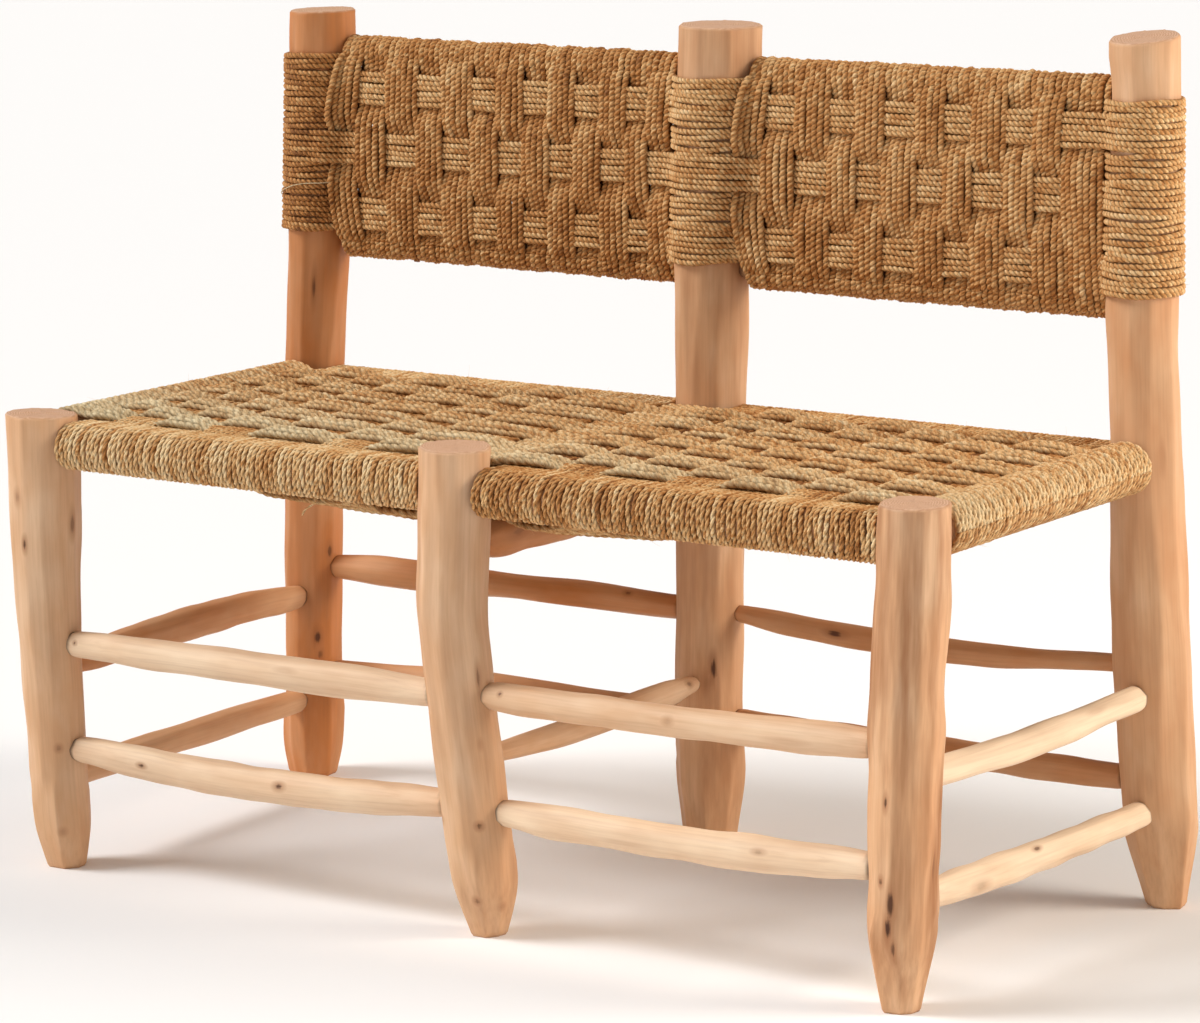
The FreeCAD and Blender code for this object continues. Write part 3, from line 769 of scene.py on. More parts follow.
# Tint, partly the wood's own tone and partly painted shade on the back and left rungs, and knots, whose
# places are thousandths of the rung's length
RUNG_LOOKS = {
    "front_rung_upper_left": (0.10, [(30, 5, 2, 2, 0.9), (620, 10, 8, 2, 0.4)]),
    "front_rung_upper_right": (0.28, [(60, 15, 2, 2, 0.8), (500, 0, 4, 3, 0.5), (800, -20, 14, 2, 0.4)]),
    "front_rung_lower_left": (0.18, [(210, -5, 4, 2, 0.9), (580, 5, 5, 3, 0.9)]),
    "front_rung_lower_right": (0.05, [(720, 10, 5, 2, 0.6), (350, -25, 18, 1.5, 0.35)]),
    "back_rung_upper_left": (0.85, [(860, 30, 4, 2, 0.8)]),
    "back_rung_upper_right": (0.72, [(280, 0, 9, 3, 0.9)]),
    "back_rung_lower_left": (0.7, []),
    "back_rung_lower_right": (0.7, []),
    "side_rung_upper_left": (0.72, []),
    "side_rung_upper_right": (-0.05, [(750, 25, 10, 2, 0.35)]),
    "side_rung_lower_left": (0.6, []),
    "side_rung_lower_right": (0.0, [(470, 35, 5, 2, 0.8), (200, -25, 10, 4, 0.55)]),
    "middle_rung": (0.4, [(930, 10, 5, 3, 0.7)]),
    "middle_seat_rail": (0.85, [(120, -10, 10, 4, 0.6)]),
}
# Poles under the rope and their share of the girth in the frame: a little thinner at the front and back of
# the seat, so that its rolls are as slender as photographed
RAIL_SHARE = 0.9
HIDDEN_RAILS = {
    "front_seat_rail": RAIL_SHARE, "back_seat_rail": RAIL_SHARE, "side_seat_rail": 1.0, "back_rail": 1.0}
HIDDEN_TINT = 0.5
HIDDEN_SIDES = 24
HIDDEN_STEP = 0.01

uprights = {name: Upright(name) for name in UPRIGHT_LOOKS}
for name, (tint, wear, knots) in UPRIGHT_LOOKS.items():
    make_upright(uprights[name], tint, wear, knots)
for name, (tint, knots) in RUNG_LOOKS.items():
    make_rung(name, tint, knots)
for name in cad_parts:
    for kind, share in HIDDEN_RAILS.items():
        if name.startswith(kind):
            make_rung(name, HIDDEN_TINT, sides=HIDDEN_SIDES, step=HIDDEN_STEP, share=share)


# Rails under the rope
def rail(name):
    """Middle of a rail and its outer radius."""
    low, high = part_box(name)
    return (low + high) / 2, (high.z - low.z) / 2


front_rail, seat_girth = rail("front_seat_rail_left")
back_rail, _ = rail("back_seat_rail_left")
left_rail, side_girth = rail("side_seat_rail_left")
right_rail, _ = rail("side_seat_rail_right")
lower_rail, back_girth = rail("back_rail_lower_left")
upper_rail, _ = rail("back_rail_upper_left")
SEAT_LEVEL = front_rail.z
SIDE_LEVEL = left_rail.z
FRONT = front_rail.y
BACK = back_rail.y
SEAT_TURN = seat_girth * RAIL_SHARE + COLUMN_ROPE
SIDE_TURN = side_girth + ROLL_ROPE
BACK_TURN = back_girth + UPRIGHT_ROPE
TOP_MEAN = SEAT_LEVEL + SEAT_TURN
BOTTOM_MEAN = SEAT_LEVEL - SEAT_TURN + UNDER_LIFT


def reach_of(name, height):
    x, y = uprights[name].axis(height)
    return float(x), float(y), float(uprights[name].radius(height))


def swing(places, knots, values):
    """Smooth line through states given at knots along it."""
    return np.sin(0.5 * pi * np.interp(places, knots, values))


LONGEST_TURN = 0.45


def pulse(places, edges, states, turn):
    """Smooth line that takes each state between two edges and swings over about a turn's length there."""
    knots = []
    values = []
    for low, high, state in zip(edges, edges[1:], states):
        inset = min(turn, LONGEST_TURN * (high - low))
        knots += [low + inset, high - inset]
        values += [state, state]
    return swing(places, knots, values)


def narrowed(edges, states, state, share):
    """Edges with the spans of one state drawn in at both ends by a share of their length."""
    edges = list(edges)
    for i, value in enumerate(states):
        if value == state:
            inset = share * (edges[i + 1] - edges[i])
            edges[i] += inset
            edges[i + 1] -= inset
    return edges


def arc(start, end, step=0.06):
    return np.linspace(start, end, max(int(abs(end - start) / step), 8))


# Bays of the seat: the uprights at the front left, front right, back left and back right of each, and how
# closely the rope follows the round of the first and the second of two uprights
BAYS = (
    ("front_leg_left", "front_leg_middle", "back_post_left", "back_post_middle"),
    ("front_leg_middle", "front_leg_right", "back_post_middle", "back_post_right"),
)
NEAR_HUG = 0.62
FAR_HUG = 0.97


def bay_line(first, second, share, depth=0.0):
    """Place from side to side between two uprights, at a distance before or behind their axes."""
    ends = []
    for name, side, close in ((first, 1, NEAR_HUG), (second, -1, FAR_HUG)):
        x, _, r = reach_of(name, SEAT_LEVEL)
        ends.append(x + side * np.sqrt((r + SNUG) ** 2 - (close * depth) ** 2))
    return ends[0] + (ends[1] - ends[0]) * share


def bay_place(bay, share, y):
    front_left, front_right, back_left, back_right = BAYS[bay]
    front = bay_line(front_left, front_right, share)
    back = bay_line(back_left, back_right, share)
    return front + (back - front) * (y - FRONT) / (BACK - FRONT)


def seat_columns():
    """Each column of the seat: bay, ends as shares of the bay, if it lies over the first row, strands."""
    columns = []
    for bay, counts in enumerate((LEFT_COLUMNS, RIGHT_COLUMNS)):
        at = 0
        for i, count in enumerate(counts):
            columns.append((bay, at / sum(counts), (at + count) / sum(counts), i % 2 == 1, count))
            at += count
    return columns


COLUMNS = seat_columns()
FRONT_REACH = max(reach_of(n, SEAT_LEVEL)[2] for n in ("front_leg_left", "front_leg_right"))
BACK_REACH = max(reach_of(n, SEAT_LEVEL)[2] for n in ("back_post_left", "back_post_right"))
ROWS_START = FRONT + FRONT_REACH + ROW_GAP
ROWS_END = BACK - BACK_REACH - ROW_GAP
ROW_WIDTH = (ROWS_END - ROWS_START) / ROW_COUNT
ROW_PITCH = ROW_WIDTH / ROW_STRANDS
ROW_EDGES = [ROWS_START + ROW_WIDTH * j for j in range(ROW_COUNT + 1)]


def row_over(row, over_first):
    """1 where a row of the seat passes over a column, and -1 where it passes under."""
    return -1 if (row % 2 == 0) == over_first else 1


def row_edges_states(row):
    middle = (ROW_EDGES[row] + ROW_EDGES[row + 1]) / 2
    edges = [left_rail.x]
    states = []
    for bay, start, end, over_first, _ in COLUMNS:
        low = bay_place(bay, start, middle)
        if low - edges[-1] > 1e-4:
            states.append(0)
            edges.append(low)
        states.append(row_over(row, over_first))
        edges.append(bay_place(bay, end, middle))
    return edges + [right_rail.x], states + [0]


# Slack of the front row underneath, either side of the middle rail: places and depths
SLACK_PLACES = (-0.40, -0.31, -0.24, -0.17, -0.07, -0.032, 0.004, 0.035, 0.10, 0.20, 0.30)
SLACK_DEPTHS = (0.0, 0.009, 0.016, 0.021, 0.022, 0.0, 0.0, 0.021, 0.018, 0.010, 0.0)
SLACK_STRANDS = (0, 5, 15)
SLACK_SHARES = (0.65, 1.15, 0.0)


def seat_row_strand(row, k):
    """Runs of one side-to-side strand: over the seat, round the right rail, below, round the left rail."""
    edges, states = row_edges_states(row)
    edges = narrowed(edges, states, -1, LENS * abs(k) / 2)
    x = np.arange(left_rail.x, right_rail.x, FINE)
    state = pulse(x, edges, states, ROW_TURN)
    centre = (ROW_EDGES[row] + ROW_EDGES[row + 1]) / 2
    rim = np.exp(-((x - left_rail.x) / RIM) ** 2) + np.exp(-((right_rail.x - x) / RIM) ** 2)
    y = centre + k * ROW_PITCH * (1 + ROW_SPREAD * state * (1 - rim)) + wander(x, *ROW_DRIFT)
    crown = ROW_CROWN * (1 - CROWN_FALL * k * k) * np.maximum(state, 0)
    flat = (TOP_MEAN + ROW_WAVE * state + crown) * (1 - rim)
    top = line(x, y, flat + (SIDE_LEVEL + SIDE_TURN) * rim + wander(x, *ROW_LIFT))
    turn = arc(pi / 2, -pi / 2)
    right = line(right_rail.x + SIDE_TURN * np.cos(turn), y[-1], SIDE_LEVEL + SIDE_TURN * np.sin(turn))
    shift = ROW_PITCH * (right_rail.x - x) / (right_rail.x - left_rail.x)
    y_under = centre + k * ROW_PITCH * (1 + ROW_SPREAD_UNDER * state * (1 - rim)) + shift
    number = row * ROW_STRANDS + k + (ROW_STRANDS - 1) / 2
    slack = soften(np.interp(x, SLACK_PLACES, SLACK_DEPTHS), SLACK_SOFT)
    slack = slack * np.interp(number, SLACK_STRANDS, SLACK_SHARES)
    wave = ROW_WAVE * state * (1 - slack / max(SLACK_DEPTHS))
    z_under = (BOTTOM_MEAN - wave - slack) * (1 - rim) + (SIDE_LEVEL - SIDE_TURN) * rim
    bottom = line(x, y_under, z_under)[::-1]
    turn = arc(-pi / 2, -3 * pi / 2)
    y_left = np.linspace(y_under[0], y[0], len(turn))
    left = line(left_rail.x + SIDE_TURN * np.cos(turn), y_left, SIDE_LEVEL + SIDE_TURN * np.sin(turn))
    return top, right, bottom, left


def seat_column_strand(bay, start, end, over_first, count, i):
    """Runs of one front-to-back strand: up round the front rail, over the seat, round the back rail, back."""
    share = start + (end - start) * (i + 0.5) / count
    middle = (start + end) / 2
    front_left, front_right, back_left, back_right = BAYS[bay]
    y = np.arange(FRONT, BACK, FINE)
    states = [0] + [-row_over(j, over_first) for j in range(ROW_COUNT)] + [0]
    off_centre = abs(2 * (i + 0.5) / count - 1)
    edges = narrowed([FRONT] + ROW_EDGES + [BACK], states, 1, LENS * off_centre)
    state = pulse(y, edges, states, COLUMN_TURN)
    inner = np.clip((y - FRONT) / ROLL_REACH, 0, 1) * np.clip((BACK - y) / ROLL_REACH, 0, 1)
    spread = middle + (share - middle) * (1 + COLUMN_SPREAD * state * inner)
    x = bay_place(bay, spread, y) + wander(y, *COLUMN_DRIFT)
    top = line(x, y, TOP_MEAN + COLUMN_WAVE * state - COLUMN_SINK * inner + wander(y, *COLUMN_LIFT))
    turn = arc(-pi / 2, -3 * pi / 2)
    x = bay_line(front_left, front_right, share, SEAT_TURN * np.cos(turn))
    x = x + wander(turn * SEAT_TURN, *ROLL_DRIFT)
    front = line(x, FRONT + SEAT_TURN * np.cos(turn), SEAT_LEVEL + SEAT_TURN * np.sin(turn))
    turn = arc(pi / 2, -pi / 2)
    x = bay_line(back_left, back_right, share, SEAT_TURN * np.cos(turn))
    back = line(x, BACK + SEAT_TURN * np.cos(turn), SEAT_LEVEL + SEAT_TURN * np.sin(turn))
    bottom = line(bay_place(bay, share, y), y, BOTTOM_MEAN - COLUMN_WAVE * state + COLUMN_SINK * inner)[::-1]
    return front, top, back, bottom


X_SIDE = (0, 1, 0)
Y_SIDE = (1, 0, 0)
Z_SIDE = (0, 0, 1)
SEAT_GROUPS = 6
COLUMN_GROUPS = ((0, 3), (3, 5), (5, 7), (7, 9), (9, 11), (11, 13), (13, 14))

# Tones of the seat from brown to straw: of the rows, of the columns along the seat, and their scatter
ROW_TONE = 0.63
ROW_TONE_SCATTER = 0.07
ROLL_PLACES = (0.0, 0.8, 1.0, 1.5, 2.0)
ROLL_TONES = (0.78, 0.74, 0.50, 0.52, 0.66)
ROLL_TONE_SCATTER = 0.12
ROW_UNDER_SHADE = 0.1
ROW_UNDER_GREY = 0.15
COLUMN_UNDER_SHADE = 0.14
COLUMN_UNDER_GREY = 0.1
# Painted shade: the columns are darker on top of the seat, where they lie sunk between the rows
RECESS_SHADE = 0.36
RECESS_START = 0.025
RECESS_BLEND = 0.05
FADE_MOST = 0.95
FADE_INTO = 1.7
FADE_ALONG = 0.45
FADE_BLEACH = 0.12
# Painted light: the rows are paler where they go round the right side rail
SIDE_PAINTED_LIGHT = 0.16


def faded(points):
    """How far the seat's rows have gone grey: most at the front left."""
    along_seat = (points[:, 0] - left_rail.x) / (right_rail.x - left_rail.x)
    into_seat = (points[:, 1] - FRONT) / (BACK - FRONT)
    return np.clip(FADE_MOST - FADE_INTO * into_seat - FADE_ALONG * along_seat, 0, 1)


def bleached_and_lit(points):
    """How much paler the seat's rows are where they have gone grey, plus painted light on the roll at the
    right.
    """
    outer = np.interp(points[:, 0], (right_rail.x, right_rail.x + RIM), (0, SIDE_PAINTED_LIGHT))
    return FADE_BLEACH * faded(points) + outer


def recessed(points):
    """1 on top of the seat between the rolls at its front and back, where the columns lie sunk between the
    rows, and 0 on the rolls.
    """
    into = np.minimum(points[:, 1] - FRONT, BACK - points[:, 1])
    return np.clip((into - RECESS_START) / RECESS_BLEND, 0, 1)


def row_girth(points):
    """Radius of a row's rope, which is drawn thinner where it goes round the side rails."""
    to_rail = np.minimum(np.abs(points[:, 0] - left_rail.x), np.abs(points[:, 0] - right_rail.x))
    return np.interp(to_rail, ROLL_BLEND, (ROLL_ROPE, ROW_ROPE))


def weave_seat():
    """The seat's rows in groups from front to back, then its columns in groups from left to right."""
    for group in range(SEAT_GROUPS):
        strands = Strands()
        for row in range(group * ROW_COUNT // SEAT_GROUPS, (group + 1) * ROW_COUNT // SEAT_GROUPS):
            slack = row * ROW_STRANDS < SLACK_STRANDS[-1]
            for k in range(ROW_STRANDS):
                top, right, bottom, left = seat_row_strand(row, k - (ROW_STRANDS - 1) / 2)
                tone = ROW_TONE + rng.normal(0, ROW_TONE_SCATTER)
                upper = np.concatenate([left[len(left) // 2:], top, right[1:len(right) // 2 + 1]])
                strands.add(
                    upper, X_SIDE, row_girth, ROW_LAY, lambda points: tone + bleached_and_lit(points), faded,
                    soft=ROW_SOFT)
                lower = np.concatenate([right[len(right) // 2:], bottom[1:], left[1:len(left) // 2 + 1]])
                strands.add(
                    lower, X_SIDE, row_girth, ROW_LAY, tone - ROW_UNDER_SHADE, ROW_UNDER_GREY, fine=slack)
        strands.build(f"seat_rows_{group + 1}", "seat_weave")
    for group, (first, last) in enumerate(COLUMN_GROUPS):
        strands = Strands()
        for bay, start, end, over_first, count in COLUMNS[first:last]:
            for i in range(count):
                front, top, back, bottom = seat_column_strand(bay, start, end, over_first, count, i)
                tone = np.interp(bay + start, ROLL_PLACES, ROLL_TONES) + rng.normal(0, ROLL_TONE_SCATTER)
                path = np.concatenate([front, top[1:], back[1:]])
                # The columns' tone drops by the painted shade where they lie sunk between the rows
                strands.add(
                    path, Y_SIDE, COLUMN_ROPE, COLUMN_LAY,
                    lambda points: tone - RECESS_SHADE * recessed(points))
                strands.add(
                    bottom, Y_SIDE, COLUMN_ROPE, COLUMN_LAY, tone - COLUMN_UNDER_SHADE, COLUMN_UNDER_GREY,
                    fine=False)
        strands.build(f"seat_columns_{group + 1}", "seat_weave")


# Back panels
MID_LEVEL = (lower_rail.z + upper_rail.z) / 2
HALF_BAND = LEVEL_STRANDS * LEVEL_PITCH / 2
BAND_EDGES = []
for level in LEVEL_BANDS:
    BAND_EDGES += [level - HALF_BAND, level + HALF_BAND]


def panel_span(first, second):
    """Where a panel's first and last upright strands stand between two wound posts."""
    spans = []
    for name in (first, second):
        x, _, r = reach_of(name, MID_LEVEL)
        wound = r + SNUG + 2 * LEVEL_ROPE
        spans.append((x, math.sqrt(wound ** 2 - BACK_TURN ** 2)))
    return spans[0][0] + spans[0][1] + UPRIGHT_ROPE, spans[1][0] - spans[1][1] - LAST_GAP * UPRIGHT_ROPE


POSTS = ("back_post_left", "back_post_middle", "back_post_right")
PANELS = {"left": panel_span(*POSTS[:2]), "right": panel_span(*POSTS[1:])}


def upright_over(side, column, band):
    """1 where an upright band of the back passes over a level one, and -1 where it passes under."""
    return 1 if (column + band) % 2 == 0 or (side, column, band) == SKIPPED_BAND else -1


def panel_strand(side, post, lean, column, i):
    """Runs of one upright strand: up the front, over the upper rail, down the back, round the lower rail."""
    low, high = PANELS[side]
    pitch = (high - low) / (PANEL_STRANDS - 1)
    counts = BACK_COLUMNS[side]
    k = i - (counts[column] - 1) / 2
    number = sum(counts[:column]) + i
    z = np.arange(lower_rail.z, upper_rail.z, FINE)
    knots = [lower_rail.z]
    values = [0]
    for band, (bottom, top) in enumerate(zip(BAND_EDGES[::2], BAND_EDGES[1::2])):
        over = upright_over(side, column, band)
        inset = -OVER_LONG if over > 0 else UNDER_SHORT
        knots += [max(bottom + inset, knots[-1] + FINE), min(top - inset, upper_rail.z - FINE)]
        values += [over] * 2
    state = swing(z, knots + [upper_rail.z], values + [0])
    rise = (z - lower_rail.z) / (upper_rail.z - lower_rail.z)
    loose = np.sin(pi * rise) ** LOOSENESS
    near = max(1 - number / BOW_STRANDS, 0)
    far = max(1 - (PANEL_STRANDS - 1 - number) / BOW_STRANDS, 0)
    centre = low + pitch * (number - k)
    x = centre + k * pitch * (1 + UPRIGHT_SPREAD * state) + wander(z, *UPRIGHT_DRIFT)
    leaning = 4 * lean * far * (1 - far) * (0.5 - rise) * loose
    x += FAR_BOW * far * (1 - loose) - NEAR_BOW * near * loose + leaning
    out = BACK_TURN + UPRIGHT_WAVE * state + UPRIGHT_CROWN * (1 - CROWN_FALL * k * k) * np.maximum(state, 0)
    out += BELLY * loose + wander(z, *UPRIGHT_LIFT)
    wound = post.radius(z) + SNUG + UPRIGHT_ROPE + 2 * LEVEL_ROPE * np.clip(1 + state, 0, 1)
    foot = np.arcsin(np.minimum(out / wound, 1))
    post_x = post.axis(z)[0]
    climb = np.maximum(wound * np.cos(foot) - (x - post_x), 0)
    x = soften(np.where(climb > 0, post_x + wound * np.cos(foot + climb / wound), x), CLIMB_SOFT)
    out = soften(np.where(climb > 0, wound * np.sin(foot + climb / wound), out), CLIMB_SOFT)
    round_rail = BACK_TURN + rng.normal(0, RAIL_SCATTER)
    out[0] = round_rail
    out[-1] = round_rail
    front = line(x, lower_rail.y - out, z)
    from_end = min(number, PANEL_STRANDS - 1 - number) / BOW_STRANDS
    slant = BACK_SLANT * pitch * math.sqrt(min(from_end, 1)) + REAR_PINCH * pitch * k
    back = line(x - slant, lower_rail.y + out, z)[::-1]
    turn = arc(pi, 0)
    over_x = np.linspace(x[-1], x[-1] - slant, len(turn))
    top = line(over_x, upper_rail.y + round_rail * np.cos(turn), upper_rail.z + round_rail * np.sin(turn))
    turn = arc(0, -pi)
    under_x = np.linspace(x[0] - slant, x[0], len(turn))
    bottom = line(under_x, lower_rail.y + round_rail * np.cos(turn), lower_rail.z + round_rail * np.sin(turn))
    return front, top, back, bottom


def level_run(level, band, face):
    """A level strand along one face of the back, from the left post past the middle one to the right one."""
    posts = [reach_of(name, level) for name in POSTS]
    x = np.arange(posts[0][0], posts[2][0], FINE / 2)
    edges = []
    states = []
    for side, (low, high) in PANELS.items():
        counts = BACK_COLUMNS[side]
        if edges:
            states.append(1)
        edges += [low + (high - low) * sum(counts[:c]) / PANEL_STRANDS for c in range(len(counts) + 1)]
        states += [-upright_over(side, c, band) for c in range(len(counts))]
    out = BACK_TURN + BELLY + LEVEL_WAVE * pulse(x, edges, states, LEVEL_TURN)
    domes = np.zeros_like(x)
    for number, (post_x, _, r) in enumerate(posts):
        wound = r + LEVEL_ROPE + SNUG
        domes = np.maximum(domes, np.sqrt(np.maximum(wound ** 2 - (x - post_x) ** 2, 0)))
        if number < len(PANELS) and upright_over("left", 0, band) < 0:
            lifted = np.sqrt(np.maximum((wound + 2 * UPRIGHT_ROPE) ** 2 - (x - post_x) ** 2, 0))
            out = np.where(x - post_x > LIFT_START, np.maximum(out, lifted), out)
    out = np.maximum(soften(np.maximum(out, domes), LEVEL_SMOOTH), domes)
    return line(x, lower_rail.y + face * out, level)


def level_turn(name, level, side):
    """The half turn of a level strand round an end post."""
    x, y, r = reach_of(name, level)
    wound = r + LEVEL_ROPE + SNUG
    turn = arc(-pi / 2, pi / 2)
    return line(x + side * wound * np.cos(turn), y + wound * np.sin(turn), level)


PANEL_GROUPS = ((0, 7), (7, None))

# Tones of the back, and how much darker its level bands are on the left post
PANEL_TONES = {"left": 0.44, "right": 0.49}
LEVEL_TONE = 0.60
BACK_TONE_SCATTER = 0.05
LEFT_SHADE = 0.28
LEFT_BLEND = 0.03


def shaded_left(points):
    """How much darker the level bands are on the left post than along the panels."""
    start = PANELS["left"][0]
    return np.interp(points[:, 0], (start - LEFT_BLEND, start + LEFT_BLEND), (LEFT_SHADE, 0))


def weave_back():
    """The upright bands of both panels, the level bands round all the posts, and the posts' own windings."""
    for side, near, lean in zip(PANELS, POSTS, FAR_LEANS):
        for group, (first, last) in enumerate(PANEL_GROUPS):
            strands = Strands()
            for column, count in list(enumerate(BACK_COLUMNS[side]))[first:last]:
                for i in range(count):
                    front, top, back, bottom = panel_strand(side, uprights[near], lean, column, i)
                    tone = PANEL_TONES[side] + rng.normal(0, BACK_TONE_SCATTER)
                    path = np.concatenate([front, top[1:], back[1:], bottom[1:]])
                    strands.add(path, Y_SIDE, UPRIGHT_ROPE, BACK_LAY, tone, soft=UPRIGHT_SOFT)
            strands.build(f"back_uprights_{side}_{group + 1}", f"back_weave_{side}")
    for band, middle in enumerate(LEVEL_BANDS):
        strands = Strands()
        for i in range(LEVEL_STRANDS):
            level = middle + (i - (LEVEL_STRANDS - 1) / 2) * LEVEL_PITCH
            tone = LEVEL_TONE + rng.normal(0, BACK_TONE_SCATTER)
            front = level_run(level, band, -1)
            back = level_run(level, band, 1)
            right = level_turn("back_post_right", level, 1)
            left = level_turn("back_post_left", level, -1)
            path = np.concatenate([left[::-1], front[1:], right[1:], back[-2:0:-1]])
            path[:, 2] += wander(along(path), *LEVEL_DRIFT)
            strands.add(
                path, Z_SIDE, LEVEL_ROPE, BACK_LAY, lambda points: tone - shaded_left(points),
                soft=LEVEL_SOFT)
        strands.build(f"back_levels_{band + 1}", "back_weave_left", "back_weave_right")
    for side, (inner, tone) in WRAPS.items():
        wind_post(side, inner, tone)


# Windings of the posts: the angle of the side towards a panel, and the tone
WRAPS = {"left": (0.0, 0.33), "middle": (pi, 0.60), "right": (pi, 0.56)}
CLIMB = 0.9
WRAP_STEP = 0.05
WRAP_REACH = 0.04


def wind_post(side, inner, tone):
    """One rope wound round a post between the level bands; it climbs past them on the panel's side."""
    post = uprights[f"back_post_{side}"]
    bounds = [WRAP_ENDS[0]] + BAND_EDGES + [WRAP_ENDS[1]]
    angles = [inner]
    heights = [bounds[0]]
    for low, high in zip(bounds[::2], bounds[1::2]):
        turns = int(round((high - low) / LEVEL_PITCH))
        if turns:
            angles += [angles[-1] + CLIMB, angles[-1] + tau * turns]
            heights += [low, high]
    turn = np.arange(angles[0], angles[-1], WRAP_STEP)
    height = np.interp(turn, angles, heights)
    x, y = post.axis(height)
    wound = post.radius(height) + LEVEL_ROPE + SNUG + wander(turn * WRAP_REACH, *WRAP_LIFT)
    height = height + wander(turn * WRAP_REACH, *WRAP_DRIFT)
    strands = Strands()
    strands.add(
        line(x + wound * np.cos(turn), y + wound * np.sin(turn), height), Z_SIDE, LEVEL_ROPE, BACK_LAY,
        tone, soft=LEVEL_SOFT)
    strands.build(f"post_wrap_{side}", f"post_winding_{side}")


FIBRE_RADIUS = 0.00011
FIBRE_ROOT = 0.0005
FIBRE_LENGTHS = (0.004, 0.011)
FIBRE_LIFTS = (0.2, 0.7)
FIBRE_SCATTER = 0.3
FIBRE_DROOP = 0.25
FIBRE_TONES = (0.5, 0.95)
FIBRE_ANGLES = np.radians([90, 210, 330])
FIBRE_RINGS = ((0.0, 1.0), (0.5, 0.8), (1.0, 0.35))


def stray_fibres():
    """Short fibres that stand off the ropes, each a thin three-sided hair that bends over."""
    vertices = []
    tones = []
    for root, out, ahead in fibre_roots:
        length = rng.uniform(*FIBRE_LENGTHS)
        lift = rng.uniform(*FIBRE_LIFTS)
        way = out * lift + ahead * rng.choice([-1, 1]) + rng.normal(0, FIBRE_SCATTER, 3)
        way /= np.linalg.norm(way)
        across = np.cross(way, out)
        across /= np.linalg.norm(across)
        up = np.cross(across, way)
        droop = rng.normal(0, FIBRE_DROOP, 3)
        for share, thin in FIBRE_RINGS:
            place = root - FIBRE_ROOT * out + length * (way * share + droop * share ** 2)
            for angle in FIBRE_ANGLES:
                off = across * math.cos(angle) + up * math.sin(angle)
                vertices.append(place + FIBRE_RADIUS * thin * off)
        tones.append(rng.uniform(*FIBRE_TONES))
    corners = len(FIBRE_RINGS) * len(FIBRE_ANGLES)
    sizes, loops = closed_tube(len(FIBRE_RINGS), len(FIBRE_ANGLES))
    loops = (loops + corners * np.arange(len(tones))[:, None]).ravel()
    none = np.zeros(len(vertices))
    make_piece(
        "rope_fibres", "palm_rope", [], np.array(vertices), np.tile(sizes, len(tones)), loops,
        np.zeros((len(loops), 2)), tone=np.repeat(tones, corners), grey=none, cleft=none, soft=none)


# Loose ends: a frayed rope end below the front roll, and a thin thread across the left post's winding
TAIL_PLACE = -0.165
TAIL_DROP = 0.020
TAIL_BEND = 0.010
TAIL_CURL = 0.003
TAIL_CURLS = 6
TAIL_INTO = 0.004
TAIL_RADIUS = 0.0010
TAIL_TONE = 0.75
THREAD_LEVELS = (0.600, 0.618)
THREAD_ANGLES = (198, 322)
THREAD_WAVE = 0.002
THREAD_WAVES = 3
THREAD_POINTS = 80
THREAD_LOOSE = (55, 70)
THREAD_RADIUS = 0.0006
THREAD_LIFT = 0.0055
THREAD_TONE = 1.0
THREAD_GREY = 0.5


def loose_ends():
    strands = Strands()
    share = np.linspace(0, 1, 40)
    tail = line(
        TAIL_PLACE - TAIL_BEND * share ** 2 + TAIL_CURL * np.sin(TAIL_CURLS * share),
        FRONT + TAIL_INTO - TAIL_INTO * share,
        SEAT_LEVEL - SEAT_TURN - TAIL_DROP * share)
    strands.add(tail, Y_SIDE, TAIL_RADIUS, ROW_LAY, TAIL_TONE)
    turn = np.radians(np.linspace(*THREAD_ANGLES, THREAD_POINTS))
    height = np.linspace(*THREAD_LEVELS, THREAD_POINTS) + THREAD_WAVE * np.sin(THREAD_WAVES * turn)
    x, y, r = reach_of("back_post_left", THREAD_LEVELS[0])
    start, end = turn[list(THREAD_LOOSE)]
    lifted = np.clip((turn - start) / (end - start), 0, 1)
    wound = r + SNUG + 2 * LEVEL_ROPE + THREAD_RADIUS + THREAD_LIFT * lifted
    thread = line(x + wound * np.cos(turn), y + wound * np.sin(turn), height)
    strands.add(thread, Z_SIDE, THREAD_RADIUS, BACK_LAY, THREAD_TONE, THREAD_GREY)
    strands.build("rope_loose_ends")


weave_seat()
weave_back()
loose_ends()
stray_fibres()

# Floor, light and camera
FLOOR_SIZE = 40.0
FLOOR_COLOUR = (0.94, 0.95, 0.965, 1)
WORLD_COLOUR = (1.0, 0.99, 0.975, 1)
WORLD_STRENGTH = 0.32
WARM = (1.0, 0.88, 0.74)


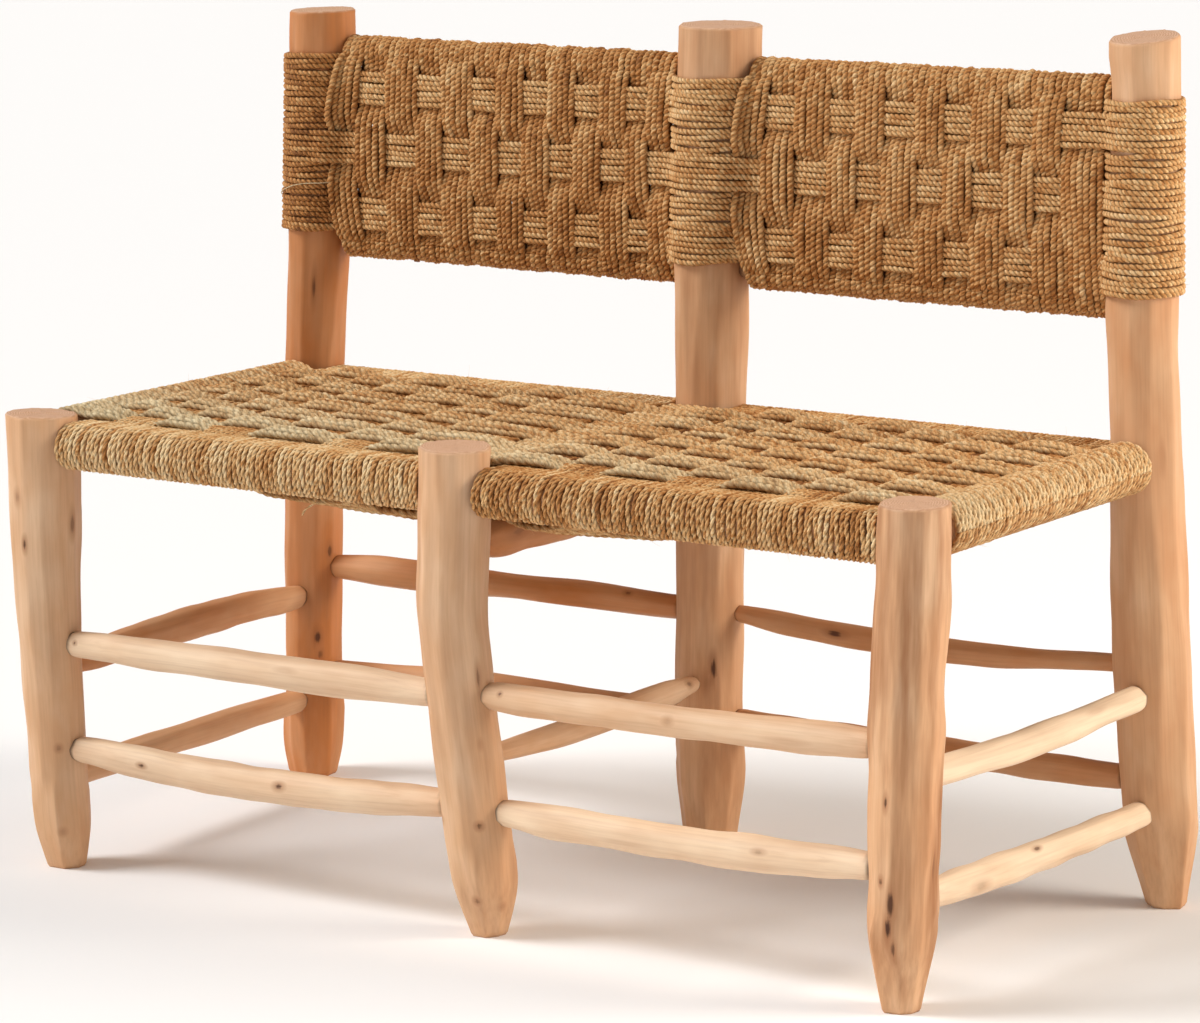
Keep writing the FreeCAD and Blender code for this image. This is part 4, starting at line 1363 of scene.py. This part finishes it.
def make_stage():
    mesh = bpy.data.meshes.new("floor")
    size = FLOOR_SIZE
    corners = [(-size, -size, 0), (size, -size, 0), (size, size, 0), (-size, size, 0)]
    mesh.from_pydata(corners, [], [(0, 1, 2, 3)])
    floor = bpy.data.objects.new("floor", mesh)
    scene.collection.objects.link(floor)
    n = Nodes("floor_looks")
    surface = n.add("ShaderNodeBsdfDiffuse", {"Color": FLOOR_COLOUR})
    n.add("ShaderNodeOutputMaterial", {"Surface": surface.outputs[0]})
    mesh.materials.append(n.material)
    scene.world = bpy.data.worlds.new("studio")
    scene.world.use_nodes = True
    background = scene.world.node_tree.nodes["Background"]
    background.inputs["Color"].default_value = WORLD_COLOUR
    background.inputs["Strength"].default_value = WORLD_STRENGTH


def lamp(name, kind, way, power, colour, place=(0, 0, 0), **settings):
    """A lamp that shines the given way: a far SUN with an angle, or a near square AREA with a size."""
    data = bpy.data.lights.new(name, kind)
    data.energy = power
    data.color = colour
    for key, value in settings.items():
        setattr(data, key, value)
    light = bpy.data.objects.new(name, data)
    light.location = place
    light.rotation_euler = Vector(way).to_track_quat("-Z", "Y").to_euler()
    scene.collection.objects.link(light)


make_stage()
lamp("key", "SUN", (0.84, 0.54, -0.95), 2.4, (1.0, 0.98, 0.96), angle=math.radians(25))
lamp("side", "SUN", (-0.85, -0.4, -0.5), 1.3, (1.0, 0.9, 0.78), angle=math.radians(25))
lamp("low", "SUN", (0.6, 0.75, -0.15), 0.35, WARM, angle=math.radians(30))
lamp("right", "AREA", (-1.85, -0.65, -0.55), 20, WARM, place=(2.2, 0.7, 1.0), size=1.0)
camera = bpy.data.objects.new("camera", bpy.data.cameras.new("camera"))
camera.data.lens = LENS_MM
camera.data.sensor_fit = "HORIZONTAL"
camera.data.sensor_width = SENSOR_MM
camera.location = EYE
camera.rotation_mode = "QUATERNION"
camera.rotation_quaternion = LOOK.to_track_quat("-Z", "Y")
scene.collection.objects.link(camera)
scene.camera = camera
scene.view_settings.view_transform = "Standard"
